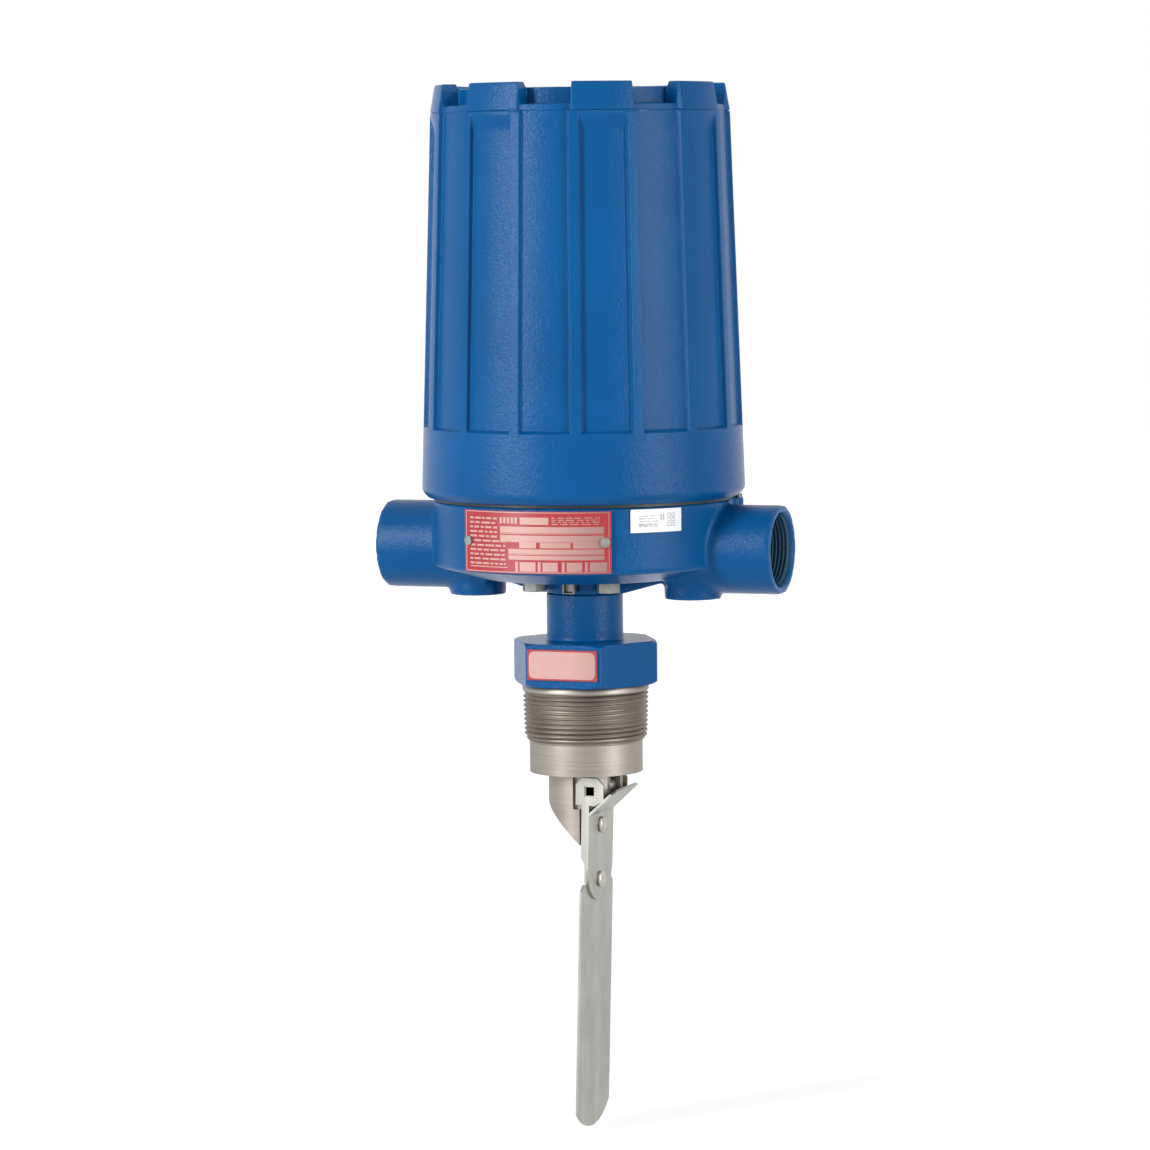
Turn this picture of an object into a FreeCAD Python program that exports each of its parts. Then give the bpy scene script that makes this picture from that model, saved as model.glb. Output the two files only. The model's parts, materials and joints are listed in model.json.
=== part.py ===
import FreeCAD, Part
import math
import os

import Sketcher

# Paddle flow switch, millimetres. +Z is up along the stem, +X is downstream, -Y is the front
# with the nameplate. The origin lies on the axis at the lower face of the hexagon, where the
# taper thread starts.

os.makedirs("parts", exist_ok=True)
doc = FreeCAD.newDocument("flow_switch")
Vector = FreeCAD.Vector
Rotation = FreeCAD.Rotation
Placement = FreeCAD.Placement

# ----------------------------------------------------------------------------- driving sizes

DRIVING = {
    # process bushing: hexagon, taper thread, skirt and the boss that carries the vane
    "hex_flats": 63.5,
    "hex_height": 20.7,
    "hex_corner_cut": 35.0,
    "neck_radius": 18.25,
    "neck_top": 43.0,
    "spigot_radius": 15.0,
    "spigot_top": 66.0,
    "thread_radius": 30.16,
    "thread_reach": 26.9,
    "taper_slope": 0.03125,
    "land_radius": 30.2,
    "land_height": 3.8,
    "skirt_radius": 27.0,
    "skirt_reach": 15.6,
    "boss_radius": 18.1,
    "boss_flat": 14.5,
    "lug_shoulder": 13.0,
    "lug_flat": 4.0,
    "cheek_wall": 6.1,
    "slot_width": 14.0,
    "slot_left": 4.5,
    "slot_roof_gap": 1.0,
    "slot_depth": 17.5,
    "flat_half_span": 15.6,
    "stem_bore_radius": 3.0,
    "chamber_radius": 9.0,
    "chamber_floor": 12.0,
    "seat_radius": 13.6,
    "seat_level": 57.0,
    # vane pivot
    "pivot_forward": 7.8,
    "pivot_drop": 7.9,
    "journal_radius": 3.6,
    "bush_radius": 4.7,
    "shaft_square": 5.0,
    "shaft_half": 16.9,
    "socket_square": 4.0,
    "socket_depth": 8.0,
    "fork_arm": 7.95,
    "fork_tilt": 11.0,
    "fork_nose_radius": 1.8,
    "fork_hub_radius": 5.0,
    "fork_inner": 2.7,
    "fork_outer": 6.5,
    "foot_pin_radius": 1.25,
    # bracket and vane
    "hang_offset": 0.1,
    "bracket_gauge": 1.2,
    "bracket_width": 35.0,
    "fold_drop": 12.1,
    "leaf_reach": 18.0,
    "leaf_angle": 44.0,
    "leaf_corner": 3.0,
    "bracket_end_drop": 54.2,
    "flange_depth": 3.8,
    "flange_drop": 36.0,
    "ear_half_width": 7.0,
    "ear_rise": 6.4,
    "ear_drop": 6.8,
    "ear_corner": 3.2,
    "vane_gauge": 1.3,
    "vane_width": 44.0,
    "vane_tongue_top": 14.4,
    "vane_shoulder": 45.0,
    "vane_end_drop": 164.3,
    "vane_end_radius": 31.0,
    "rivet_drop": 18.0,
    "rivet_pitch": 26.3,
    "rivet_head_radius": 3.9,
    "rivet_head_height": 2.2,
    "rivet_shank_radius": 2.0,
    "vane_lean": 1.65,
    # housing base
    "base_radius": 71.4,
    "base_floor": 62.0,
    "base_rim": 88.0,
    "cavity_radius": 63.0,
    "collar_start": 18.6,
    "underside": 50.7,
    "underside_radius": 48.0,
    "wall_low": 57.0,
    "web_half_width": 6.0,
    "web_slope": 0.274,
    "spout_radius": 68.0,
    "spout_rise": 18.0,
    "spout_bore": 62.0,
    "hub_radius": 21.0,
    "hub_half_span": 99.0,
    "hub_inner": 45.0,
    "hub_level": 65.0,
    "conduit_radius": 16.7,
    "conduit_end": 58.0,
    "plug_bore_radius": 16.2,
    "conduit_chamfer": 1.2,
    "outlet_radius": 13.5,
    "outlet_offset": 54.5,
    "outlet_bottom": 41.2,
    "lock_lug_centre": 71.5,
    "lock_lug_radius": 5.0,
    "lock_lug_height": 6.0,
    "lock_screw_centre": 73.6,
    "lock_screw_radius": 2.0,
    "bolt_circle": 26.5,
    "bolt_radius": 3.0,
    "bolt_head_flats": 10.0,
    "bolt_head_height": 5.0,
    "washer_radius": 6.2,
    "washer_gauge": 1.0,
    "set_screw_level": 46.9,
    "set_screw_flats": 6.0,
    "set_screw_end": 23.0,
    "set_screw_radius": 2.5,
    "nameplate_low": 57.8,
    "nameplate_high": 86.6,
    "nameplate_gauge": 0.9,
    "drive_pin_radius": 1.2,
    "drive_pin_head": 2.3,
    "tag_low": 76.2,
    "tag_high": 87.1,
    "tag_width": 26.5,
    "tag_gauge": 0.8,
    "flow_plate_width": 35.0,
    "flow_plate_low": 3.8,
    "flow_plate_high": 18.3,
    "flow_plate_gauge": 0.8,
    "plug_length": 13.0,
    "plug_socket_flats": 14.0,
    # cover
    "gasket_gauge": 1.4,
    "gasket_radius": 71.2,
    "cover_foot_radius": 76.9,
    "cover_foot_cut": 3.0,
    "cover_shoulder_radius": 70.9,
    "cover_shoulder": 271.0,
    "cover_top_radius": 68.6,
    "cover_top": 284.0,
    "cap_level": 281.6,
    "cap_radius": 60.5,
    "crown_floor": 273.8,
    "panel_floor": 122.0,
    "panel_depth": 2.2,
    "panel_fade": 262.0,
    "notch_angle": 20.5,
    "rib_angle": 4.0,
    "cover_cavity_radius": 67.2,
    "cover_roof_radius": 64.0,
    "cover_roof": 266.0,
    "cover_thread_top": 110.0,
    # magnetic drive
    "tube_radius": 10.0,
    "tube_bore": 9.0,
    "tube_top": 236.0,
    "tube_flange_radius": 13.4,
    "tube_flange_gauge": 3.0,
    "seal_gauge": 1.0,
    "nut_flats": 28.0,
    "nut_height": 5.5,
    "stem_radius": 2.0,
    "stem_top": 216.0,
    "sleeve_radius": 8.3,
    "sleeve_low": 134.0,
    "sleeve_high": 182.0,
    "jam_nut_flats": 7.0,
    "jam_nut_height": 3.2,
    "spring_radius": 5.6,
    "spring_cup_level": 52.0,
    "guide_height": 7.0,
    # switch
    "plate_low": 62.0,
    "plate_gauge": 4.0,
    "plate_radius": 46.0,
    "web_left": 17.0,
    "web_right": 46.0,
    "web_face": 7.0,
    "web_gauge": 2.0,
    "web_top": 218.0,
    "foot_reach": 14.0,
    "magnet_pivot_x": 24.0,
    "magnet_pivot_z": 205.0,
    "arm_face": 21.0,
    "arm_gauge": 1.6,
    "arm_half_width": 5.0,
    "pin_radius": 1.5,
    "coil_radius": 2.6,
    "small_screw_radius": 1.6,
    "ground_screw_radius": 2.4,
    "plunger_radius": 1.3,
    "arm_low": 148.0,
    "magnet_left": 12.4,
    "magnet_low": 150.0,
    "magnet_high": 166.0,
    "switch_left": 26.6,
    "switch_depth": 15.9,
    "switch_low": 168.0,
    "switch_high": 196.0,
    "switch_gauge": 10.3,
    "plunger_level": 185.0,
    "terminal_low": 78.0,
    "terminal_high": 98.0,
    "terminal_front": 9.0,
    "terminal_pitch": 7.5,
    "lead_radius": 0.9,
    # small clearances
    "fit_gap": 0.05,
    "running_gap": 0.08,
    "bent_gap": 0.15,
    "loose_gap": 0.3,
}

sheet = doc.addObject("Spreadsheet::Sheet", "Sizes")
for row, (alias, number) in enumerate(DRIVING.items(), start=1):
    sheet.set(f"A{row}", alias)
    sheet.set(f"B{row}", str(number))
    sheet.setAlias(f"B{row}", alias)
doc.recompute()


class Size:
    """A length or angle that carries its number and the expression it is bound to."""

    def __init__(self, value, text):
        self.value = value
        self.text = text

    def __add__(self, other):
        other = as_size(other)
        return Size(self.value + other.value, f"({self.text} + {other.text})")

    def __sub__(self, other):
        other = as_size(other)
        return Size(self.value - other.value, f"({self.text} - {other.text})")

    def __mul__(self, other):
        other = as_size(other)
        return Size(self.value * other.value, f"({self.text} * {other.text})")

    def __truediv__(self, other):
        other = as_size(other)
        return Size(self.value / other.value, f"({self.text} / {other.text})")

    def __neg__(self):
        return Size(-self.value, f"(0 - {self.text})")

    def __radd__(self, other):
        return as_size(other) + self

    def __rsub__(self, other):
        return as_size(other) - self

    def __rmul__(self, other):
        return as_size(other) * self


def as_size(number):
    if isinstance(number, Size):
        return number
    return Size(float(number), f"({float(number):.9f})")


def sine(angle):
    angle = as_size(angle)
    return Size(math.sin(math.radians(angle.value)), f"sin({angle.text})")


def cosine(angle):
    angle = as_size(angle)
    return Size(math.cos(math.radians(angle.value)), f"cos({angle.text})")


def higher(first, second):
    """The larger of two sizes, still bound to both."""
    return Size(max(first.value, second.value), f"max({first.text}; {second.text})")


def size(alias):
    return Size(float(DRIVING[alias]), f"Sizes.{alias}")


# ----------------------------------------------------------------------------- shared helpers

AXIS_TURN = {
    "+Z": Rotation(),
    "-Z": Rotation(Vector(1, 0, 0), 180),
    "+X": Rotation(Vector(0, 1, 0), 90),
    "-X": Rotation(Vector(0, 1, 0), -90),
    "+Y": Rotation(Vector(1, 0, 0), -90),
    "-Y": Rotation(Vector(1, 0, 0), 90),
}
SUB_PARTS = []


def bind(item, prop, amount):
    amount = as_size(amount)
    item.setExpression(prop, amount.text)
    return item


def place(item, at, axis="+Z", turn=None):
    """Put an item at a bound position, its own Z along axis, or turned as given."""
    item.Placement = Placement(Vector(*[as_size(part).value for part in at]), turn or AXIS_TURN[axis])
    for letter, part in zip("xyz", at):
        bind(item, f"Placement.Base.{letter}", part)
    return item


def finish(item, label):
    """Name an item as one sub-part of the product."""
    item.Label = label
    SUB_PARTS.append(item)
    return item


def cylinder(radius, height, at=(0, 0, 0), axis="+Z"):
    item = doc.addObject("Part::Cylinder", "cylinder")
    bind(item, "Radius", radius)
    bind(item, "Height", height)
    return place(item, at, axis)


def hexagon(flats, height, at=(0, 0, 0), axis="+Z"):
    item = doc.addObject("Part::Prism", "hexagon")
    item.Polygon = 6
    bind(item, "Circumradius", as_size(flats) / math.sqrt(3.0))
    bind(item, "Height", height)
    return place(item, at, axis)


def block(low, high):
    """An axis-aligned box between two corners."""
    item = doc.addObject("Part::Box", "block")
    for prop, start, end in zip(("Length", "Width", "Height"), low, high):
        bind(item, prop, as_size(end) - start)
    return place(item, low)


def cut(base, *tools):
    result = base
    for tool in tools:
        item = doc.addObject("Part::Cut", "cut")
        item.Base = result
        item.Tool = tool
        result = item
    return result


def fuse(*items):
    item = doc.addObject("Part::MultiFuse", "fuse")
    item.Shapes = list(items)
    item.Refine = True
    return item


def group(*items):
    item = doc.addObject("Part::Compound", "group")
    item.Links = list(items)
    return item


def new_body(label):
    return finish(doc.addObject("PartDesign::Body", label), label)


def origin_plane(body, role):
    for feature in body.Origin.OriginFeatures:
        if feature.Role == role:
            return feature
    raise RuntimeError(f"{body.Label} has no {role}")


def sketch_on(body, role, offset=0, facing=None):
    """Sketch on an origin plane, moved along its normal. With facing, the plane is turned about Z:
    an upright sketch by that angle, a level one so that its vertical axis points there."""
    sketch = body.newObject("Sketcher::SketchObject", "sketch")
    sketch.AttachmentSupport = [(origin_plane(body, role), "")]
    sketch.MapMode = "FlatFace"
    offset = as_size(offset)
    turn = Rotation()
    if facing is not None and role == "XY_Plane":
        turn = Rotation(Vector(0, 0, 1), facing + 180)
    elif facing is not None:
        turn = Rotation(Vector(0, 1, 0), facing)
    away = turn.multVec(Vector(0, 0, offset.value))
    sketch.AttachmentOffset = Placement(away, turn)
    if offset.value:
        for letter, share in zip("xyz", turn.multVec(Vector(0, 0, 1))):
            if abs(share) > 1e-9:
                sketch.setExpression(f"AttachmentOffset.Base.{letter}", (offset * share).text)
    return sketch


def section_at(body, angle):
    """Upright sketch through Z whose horizontal axis points to an angle from the front."""
    return sketch_on(body, "XZ_Plane", 0, angle - 90)


def pin_point(sketch, geometry, end, across, up):
    """Hold one point of a sketch at bound coordinates."""
    for kind, amount, zero_axis in (("DistanceX", across, -2), ("DistanceY", up, -1)):
        amount = as_size(amount)
        if amount.value == 0.0:
            sketch.addConstraint(Sketcher.Constraint("PointOnObject", geometry, end, zero_axis))
            continue
        index = sketch.addConstraint(Sketcher.Constraint(kind, -1, 1, geometry, end, amount.value))
        sketch.setExpression(f"Constraints[{index}]", amount.text)


def draw_outline(sketch, corners, arc_after=None, arc_centre=None):
    """Closed outline through corners. The segment after corner arc_after is a counter-clockwise
    arc about a centre on the sketch's vertical axis at height arc_centre."""
    first = sketch.GeometryCount
    count = len(corners)
    points = [Vector(as_size(x).value, as_size(y).value, 0) for x, y in corners]
    for index in range(count):
        start = points[index]
        end = points[(index + 1) % count]
        if index != arc_after:
            sketch.addGeometry(Part.LineSegment(start, end), False)
            continue
        centre = Vector(0, as_size(arc_centre).value, 0)
        radius = (start - centre).Length
        angles = [math.atan2(point.y - centre.y, point.x - centre.x) for point in (start, end)]
        if angles[1] < angles[0]:
            angles[1] += 2 * math.pi
        circle = Part.Circle(centre, Vector(0, 0, 1), radius)
        sketch.addGeometry(Part.ArcOfCircle(circle, angles[0], angles[1]), False)
    for index in range(count):
        following = first + (index + 1) % count
        sketch.addConstraint(Sketcher.Constraint("Coincident", first + index, 2, following, 1))
    for index, (across, up) in enumerate(corners):
        pin_point(sketch, first + index, 1, across, up)
    if arc_after is not None:
        centre_height = as_size(arc_centre)
        item = first + arc_after
        index = sketch.addConstraint(Sketcher.Constraint("DistanceY", -1, 1, item, 3, centre_height.value))
        sketch.setExpression(f"Constraints[{index}]", centre_height.text)


def draw_circle(sketch, radius, across=0, up=0):
    radius = as_size(radius)
    centre = Vector(as_size(across).value, as_size(up).value, 0)
    item = sketch.addGeometry(Part.Circle(centre, Vector(0, 0, 1), radius.value), False)
    index = sketch.addConstraint(Sketcher.Constraint("Radius", item, radius.value))
    sketch.setExpression(f"Constraints[{index}]", radius.text)
    pin_point(sketch, item, 3, across, up)


def extrude(body, kind, sketch, length, midplane=False, backward=False):
    """Pad or Pocket a sketch by a bound length."""
    feature = body.newObject(f"PartDesign::{kind}", kind.lower())
    feature.Profile = sketch
    feature.Midplane = midplane
    feature.Reversed = backward
    length = as_size(length)
    feature.Length = length.value
    feature.setExpression("Length", length.text)
    return feature


def spin(body, kind, sketch, angle=360, midplane=False):
    """Revolve or groove a sketch about its own vertical axis."""
    feature = body.newObject(f"PartDesign::{kind}", kind.lower())
    feature.Profile = sketch
    feature.ReferenceAxis = (sketch, ["V_Axis"])
    feature.Midplane = midplane
    angle = as_size(angle)
    feature.Angle = angle.value
    if angle.value != 360:
        feature.setExpression("Angle", angle.text)
    return feature


def around(body, feature, count):
    """Repeat a feature evenly around the body's vertical axis."""
    pattern = body.newObject("PartDesign::PolarPattern", "pattern")
    pattern.Originals = [feature]
    pattern.Axis = (origin_plane(body, "Z_Axis"), [""])
    pattern.Angle = 360
    pattern.Occurrences = count
    body.Tip = pattern
    return pattern


def turned(label, *profiles, role="XZ_Plane"):
    """A body turned about Z: the first profile is the solid, the others are cut away."""
    body = new_body(label)
    for kind, profile in zip(["Revolution"] + ["Groove"] * (len(profiles) - 1), profiles):
        sketch = sketch_on(body, role)
        draw_outline(sketch, profile)
        spin(body, kind, sketch)
    return body


def ring(inner, outer, low, high):
    """Rectangular section of a turned ring."""
    return [(inner, low), (outer, low), (outer, high), (inner, high)]


# ----------------------------------------------------------------------------- shared levels

fit_gap = size("fit_gap")
running_gap = size("running_gap")
loose_gap = size("loose_gap")
hex_height = size("hex_height")
neck_top = size("neck_top")
spigot_top = size("spigot_top")
boss_radius = size("boss_radius")
slot_half = size("slot_width") / 2
flat_half_span = size("flat_half_span")
seat_level = size("seat_level")
skirt_top = -size("thread_reach")
skirt_bottom = skirt_top - size("skirt_reach")
pivot_x = size("pivot_forward")
pivot_z = skirt_bottom - size("pivot_drop")
lug_flat = size("lug_flat")
lug_tip = skirt_bottom - size("lug_shoulder") - boss_radius - lug_flat
slot_roof = skirt_bottom - size("slot_roof_gap")
slot_floor = skirt_bottom - size("slot_depth")
nose_z = pivot_z + size("fork_arm") * sine(size("fork_tilt"))
foot_pin_z = nose_z - size("fork_nose_radius") - size("foot_pin_radius") - 0.1
stem_radius = size("stem_radius")
base_rim = size("base_rim")
base_floor = size("base_floor")
cover_foot = base_rim + size("gasket_gauge") + fit_gap * 2
bolt_circle = size("bolt_circle")
plate_top = size("plate_low") + size("plate_gauge")
seal_gauge = size("seal_gauge")
flange_top = seat_level + seal_gauge + size("tube_flange_gauge")
bolt_angles = (45, 135, 225, 315)
plate_middle = (size("nameplate_low") + size("nameplate_high")) / 2
LOCK_ANGLE = 112
NAMEPLATE_SWEEP = 60
PLATE_PIN_ANGLE = 27.6
TAG_ANGLE = 48


def on_circle(radius, angle):
    """Bound X and Y of a point at an angle measured from the front (-Y) towards +X."""
    turn = math.radians(angle)
    return as_size(radius) * math.sin(turn), as_size(radius) * -math.cos(turn)


# ----------------------------------------------------------------------------- process bushing

def make_process_bushing():
    """Hexagon, taper thread, skirt, and the slotted boss with its back-stop lug, in one piece."""
    thread_radius = size("thread_radius")
    skirt_radius = size("skirt_radius")
    land = size("land_height")
    land_radius = size("land_radius")
    thread_tip_radius = thread_radius - size("taper_slope") * size("thread_reach")
    body = new_body("process_bushing")
    sketch = sketch_on(body, "XZ_Plane")
    draw_outline(sketch, [
        (0, spigot_top), (0, lug_tip), (boss_radius, lug_tip), (boss_radius, skirt_bottom),
        (skirt_radius, skirt_bottom), (skirt_radius, skirt_top), (thread_tip_radius, skirt_top),
        (thread_radius, -land), (land_radius, -land), (land_radius, 0),
        (size("neck_radius"), 0), (size("neck_radius"), neck_top),
        (size("spigot_radius"), neck_top), (size("spigot_radius"), spigot_top),
    ])
    spin(body, "Revolution", sketch)
    add_hexagon(body)
    bore_bushing(body)
    cut_boss(body)
    return body


def add_hexagon(body):
    """Hexagon with flats to the front and back, its corners turned off at both ends."""
    half_flats = size("hex_flats") / 2
    corner = size("hex_flats") / math.sqrt(3.0)
    sketch = sketch_on(body, "XY_Plane")
    draw_outline(sketch, [
        (corner, 0), (corner / 2, half_flats), (-corner / 2, half_flats),
        (-corner, 0), (-corner / 2, -half_flats), (corner / 2, -half_flats),
    ])
    extrude(body, "Pad", sketch, hex_height)
    cut_radius = size("hex_corner_cut") - 2
    outside = corner + 2
    drop = (outside - cut_radius) * math.tan(math.radians(32))
    for level, sign in ((hex_height, -1), (as_size(0), 1)):
        sketch = sketch_on(body, "XZ_Plane")
        draw_outline(sketch, [
            (cut_radius, level), (outside, level + drop * sign), (outside, level - drop * sign),
            (cut_radius, level - 1 * sign),
        ])
        spin(body, "Groove", sketch)


def bore_bushing(body):
    """Seat for the enclosing tube, spring chamber and stem bore."""
    sketch = sketch_on(body, "XZ_Plane")
    draw_outline(sketch, [
        (0, spigot_top + 2), (0, slot_roof - 1), (size("stem_bore_radius"), slot_roof - 1),
        (size("stem_bore_radius"), size("chamber_floor")), (size("chamber_radius"), size("chamber_floor")),
        (size("chamber_radius"), seat_level), (size("seat_radius"), seat_level),
        (size("seat_radius"), spigot_top + 2),
    ])
    spin(body, "Groove", sketch)


def cut_boss(body):
    """Sloped back, downstream flats, fork slot, ear recesses and bush holes of the boss."""
    outside = boss_radius + 2
    under = lug_tip - 3
    shoulder = skirt_bottom - size("lug_shoulder")
    chamfer_offset = pivot_x - pivot_z + size("cheek_wall") * math.sqrt(2.0)
    boss_flat = size("boss_flat")
    slopes = [
        [(-outside, shoulder + 2), (-outside, under), (lug_flat + 2, under), (lug_flat + 2, lug_tip - 2)],
        [(boss_flat, skirt_bottom), (boss_flat, boss_flat - chamfer_offset),
         (lug_flat, lug_flat - chamfer_offset), (lug_flat, under), (outside, under), (outside, skirt_bottom)],
        [(-size("slot_left"), slot_roof), (-size("slot_left"), slot_floor),
         (outside, slot_floor), (outside, slot_roof)],
    ]
    for outline, width in zip(slopes, (outside * 2, outside * 2, slot_half * 2)):
        sketch = sketch_on(body, "XZ_Plane")
        draw_outline(sketch, outline)
        extrude(body, "Pocket", sketch, width, midplane=True)
    ledge = pivot_z - size("ear_drop") - 1.9
    ear_side = pivot_x - size("ear_half_width") - 1.2
    recesses = [(ear_side, skirt_bottom, skirt_bottom - ledge), (lug_flat - 1.3, ledge + 1, ledge - under)]
    for left, top, depth in recesses:
        for side in (-1, 1):
            sketch = sketch_on(body, "XY_Plane", top)
            draw_outline(sketch, [
                (left, flat_half_span * side), (outside, flat_half_span * side),
                (outside, outside * side), (left, outside * side),
            ])
            extrude(body, "Pocket", sketch, depth)
    sketch = sketch_on(body, "XZ_Plane")
    draw_circle(sketch, size("bush_radius") + fit_gap, pivot_x, pivot_z)
    extrude(body, "Pocket", sketch, outside * 2, midplane=True)


def make_pivot_bushes():
    length = flat_half_span - slot_half
    rings = []
    for side in (-1, 1):
        start = slot_half if side > 0 else -flat_half_span
        outer = cylinder(size("bush_radius"), length, (pivot_x, start, pivot_z), "+Y")
        inner = cylinder(size("journal_radius") + running_gap, length, (pivot_x, start, pivot_z), "+Y")
        rings.append(cut(outer, inner))
    return finish(group(*rings), "pivot_bushes")


# ----------------------------------------------------------------------------- vane and pivot

bracket_front = pivot_x - size("hang_offset")
bracket_back = bracket_front - size("bracket_gauge")
vane_back = bracket_back - size("vane_gauge")
bracket_half = size("bracket_width") / 2


def lean(item):
    """Tip a sub-part of the vane about the pivot, so that it rests against the lug."""
    angle = size("vane_lean")
    turn = Rotation(Vector(0, 1, 0), angle.value)
    item.Placement = Placement(Vector(), turn, Vector(pivot_x.value, 0, pivot_z.value))
    item.setExpression("Placement.Rotation.Angle", angle.text)
    sideways = pivot_x - pivot_x * cosine(angle) - pivot_z * sine(angle)
    upward = pivot_z - pivot_z * cosine(angle) + pivot_x * sine(angle)
    item.setExpression("Placement.Base.x", sideways.text)
    item.setExpression("Placement.Base.z", upward.text)
    return item


def make_vane_bracket():
    """Bent sheet: plate with a round end, a leaf turned up downstream, and two pivot ears."""
    gauge = size("bracket_gauge")
    angle = size("leaf_angle")
    fold = pivot_z - size("fold_drop")
    end = pivot_z - size("bracket_end_drop")
    reach = size("leaf_reach")
    tip_x = bracket_front + reach * cosine(angle)
    tip_z = fold + reach * sine(angle)
    inner_rise = gauge * (1 - sine(angle)) / cosine(angle)
    body = new_body("vane_bracket")
    sketch = sketch_on(body, "XZ_Plane")
    draw_outline(sketch, [
        (bracket_front, end), (bracket_front, fold), (tip_x, tip_z),
        (tip_x - gauge * sine(angle), tip_z + gauge * cosine(angle)),
        (bracket_back, fold + inner_rise), (bracket_back, end),
    ])
    extrude(body, "Pad", sketch, bracket_half * 2, midplane=True)
    add_ears(body)
    trim_leaf(body, tip_x, tip_z + gauge * cosine(angle), size("leaf_corner") * sine(angle))
    round_bracket_end(body, end)
    for row in range(2):
        height = pivot_z - size("rivet_drop") - size("rivet_pitch") * row
        sketch = sketch_on(body, "YZ_Plane", bracket_back - 1)
        draw_circle(sketch, size("rivet_shank_radius") + fit_gap, 0, height)
        extrude(body, "Pocket", sketch, gauge + 2, backward=True)
    return lean(body)


def add_ears(body):
    """Side flanges that run up past the boss and carry the pivot in square holes."""
    gauge = size("bracket_gauge")
    half_width = size("ear_half_width")
    ear_top = pivot_z + size("ear_rise")
    ear_low = pivot_z - size("ear_drop")
    corner = size("ear_corner")
    flange_back = bracket_front - size("flange_depth")
    flange_low = pivot_z - size("flange_drop")
    square = size("shaft_square") / 2 + fit_gap
    for side in (-1, 1):
        offset = -bracket_half if side < 0 else bracket_half - gauge
        sketch = sketch_on(body, "XZ_Plane", -offset - gauge)
        draw_outline(sketch, [
            (flange_back, flange_low + 4), (flange_back + 2.4, flange_low), (bracket_front, flange_low),
            (bracket_front, ear_low), (pivot_x + half_width - corner * 1.3, ear_low),
            (pivot_x + half_width, ear_low + corner * 0.9),
            (pivot_x + half_width, ear_top - corner), (pivot_x + half_width - corner, ear_top),
            (pivot_x - half_width + corner, ear_top), (pivot_x - half_width, ear_top - corner),
            (pivot_x - half_width, ear_low), (flange_back, ear_low),
        ])
        extrude(body, "Pad", sketch, gauge)
    sketch = sketch_on(body, "XZ_Plane")
    draw_outline(sketch, [
        (pivot_x - square, pivot_z - square), (pivot_x + square, pivot_z - square),
        (pivot_x + square, pivot_z + square), (pivot_x - square, pivot_z + square),
    ])
    extrude(body, "Pocket", sketch, bracket_half * 2 + 4, midplane=True)


def trim_leaf(body, tip_x, top, drop):
    """Cut the two corners at the tip of the leaf."""
    inner = bracket_half - size("leaf_corner")
    for side in (-1, 1):
        sketch = sketch_on(body, "YZ_Plane", tip_x - 4.5)
        draw_outline(sketch, [
            (inner * side, top), (bracket_half * side, top - drop), ((bracket_half + 2) * side, top - drop),
            ((bracket_half + 2) * side, top + 2), (inner * side, top + 2),
        ])
        extrude(body, "Pocket", sketch, 7, backward=True)


def round_bracket_end(body, end):
    """Cut the two lower corners away to leave a full round end."""
    centre = end + bracket_half
    arcs = [
        [(-bracket_half, centre), (0, end), (-bracket_half, end)],
        [(0, end), (bracket_half, centre), (bracket_half, end)],
    ]
    for corners in arcs:
        sketch = sketch_on(body, "YZ_Plane", bracket_back - 1)
        draw_outline(sketch, corners, 0, centre)
        extrude(body, "Pocket", sketch, size("bracket_gauge") + 2, backward=True)


def make_vane_blade():
    """Long flat blade: a tongue between the bracket flanges, shoulders and an arc at the end."""
    half = size("vane_width") / 2
    tongue = bracket_half - size("bracket_gauge") - loose_gap
    top = pivot_z - size("vane_tongue_top")
    shoulder = pivot_z - size("vane_shoulder")
    tip = pivot_z - size("vane_end_drop")
    radius = size("vane_end_radius")
    corner_value = math.sqrt(radius.value ** 2 - half.value ** 2)
    corner_text = f"sqrt({radius.text} ^ 2 - {half.text} ^ 2)"
    corner = tip + radius - Size(corner_value, corner_text)
    body = new_body("vane_blade")
    sketch = sketch_on(body, "YZ_Plane", vane_back)
    draw_outline(sketch, [
        (-half, corner), (half, corner), (half, shoulder - 3), (half - 3, shoulder),
        (tongue, shoulder), (tongue, top), (-tongue, top), (-tongue, shoulder),
        (-half + 3, shoulder), (-half, shoulder - 3),
    ], 0, tip + radius)
    extrude(body, "Pad", sketch, size("vane_gauge"))
    for row in range(2):
        height = pivot_z - size("rivet_drop") - size("rivet_pitch") * row
        sketch = sketch_on(body, "YZ_Plane", vane_back - 1)
        draw_circle(sketch, size("rivet_shank_radius") + fit_gap, 0, height)
        extrude(body, "Pocket", sketch, size("vane_gauge") + 2, backward=True)
    return lean(body)


def make_vane_rivets():
    """Two domed rivets, flush at the back of the blade."""
    shank = size("rivet_shank_radius")
    head = size("rivet_head_radius")
    height = size("rivet_head_height")
    rivets = []
    for row in range(2):
        level = pivot_z - size("rivet_drop") - size("rivet_pitch") * row
        stem = cylinder(shank, bracket_front - vane_back, (vane_back, 0, level), "+X")
        rim = cylinder(head, height * 0.55, (bracket_front, 0, level), "+X")
        dome = doc.addObject("Part::Cone", "dome")
        bind(dome, "Radius1", head)
        bind(dome, "Radius2", head * 0.55)
        bind(dome, "Height", height * 0.45)
        place(dome, (bracket_front + height * 0.55, 0, level), "+X")
        rivets.append(fuse(stem, rim, dome))
    return lean(finish(group(*rivets), "vane_rivets"))


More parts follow.
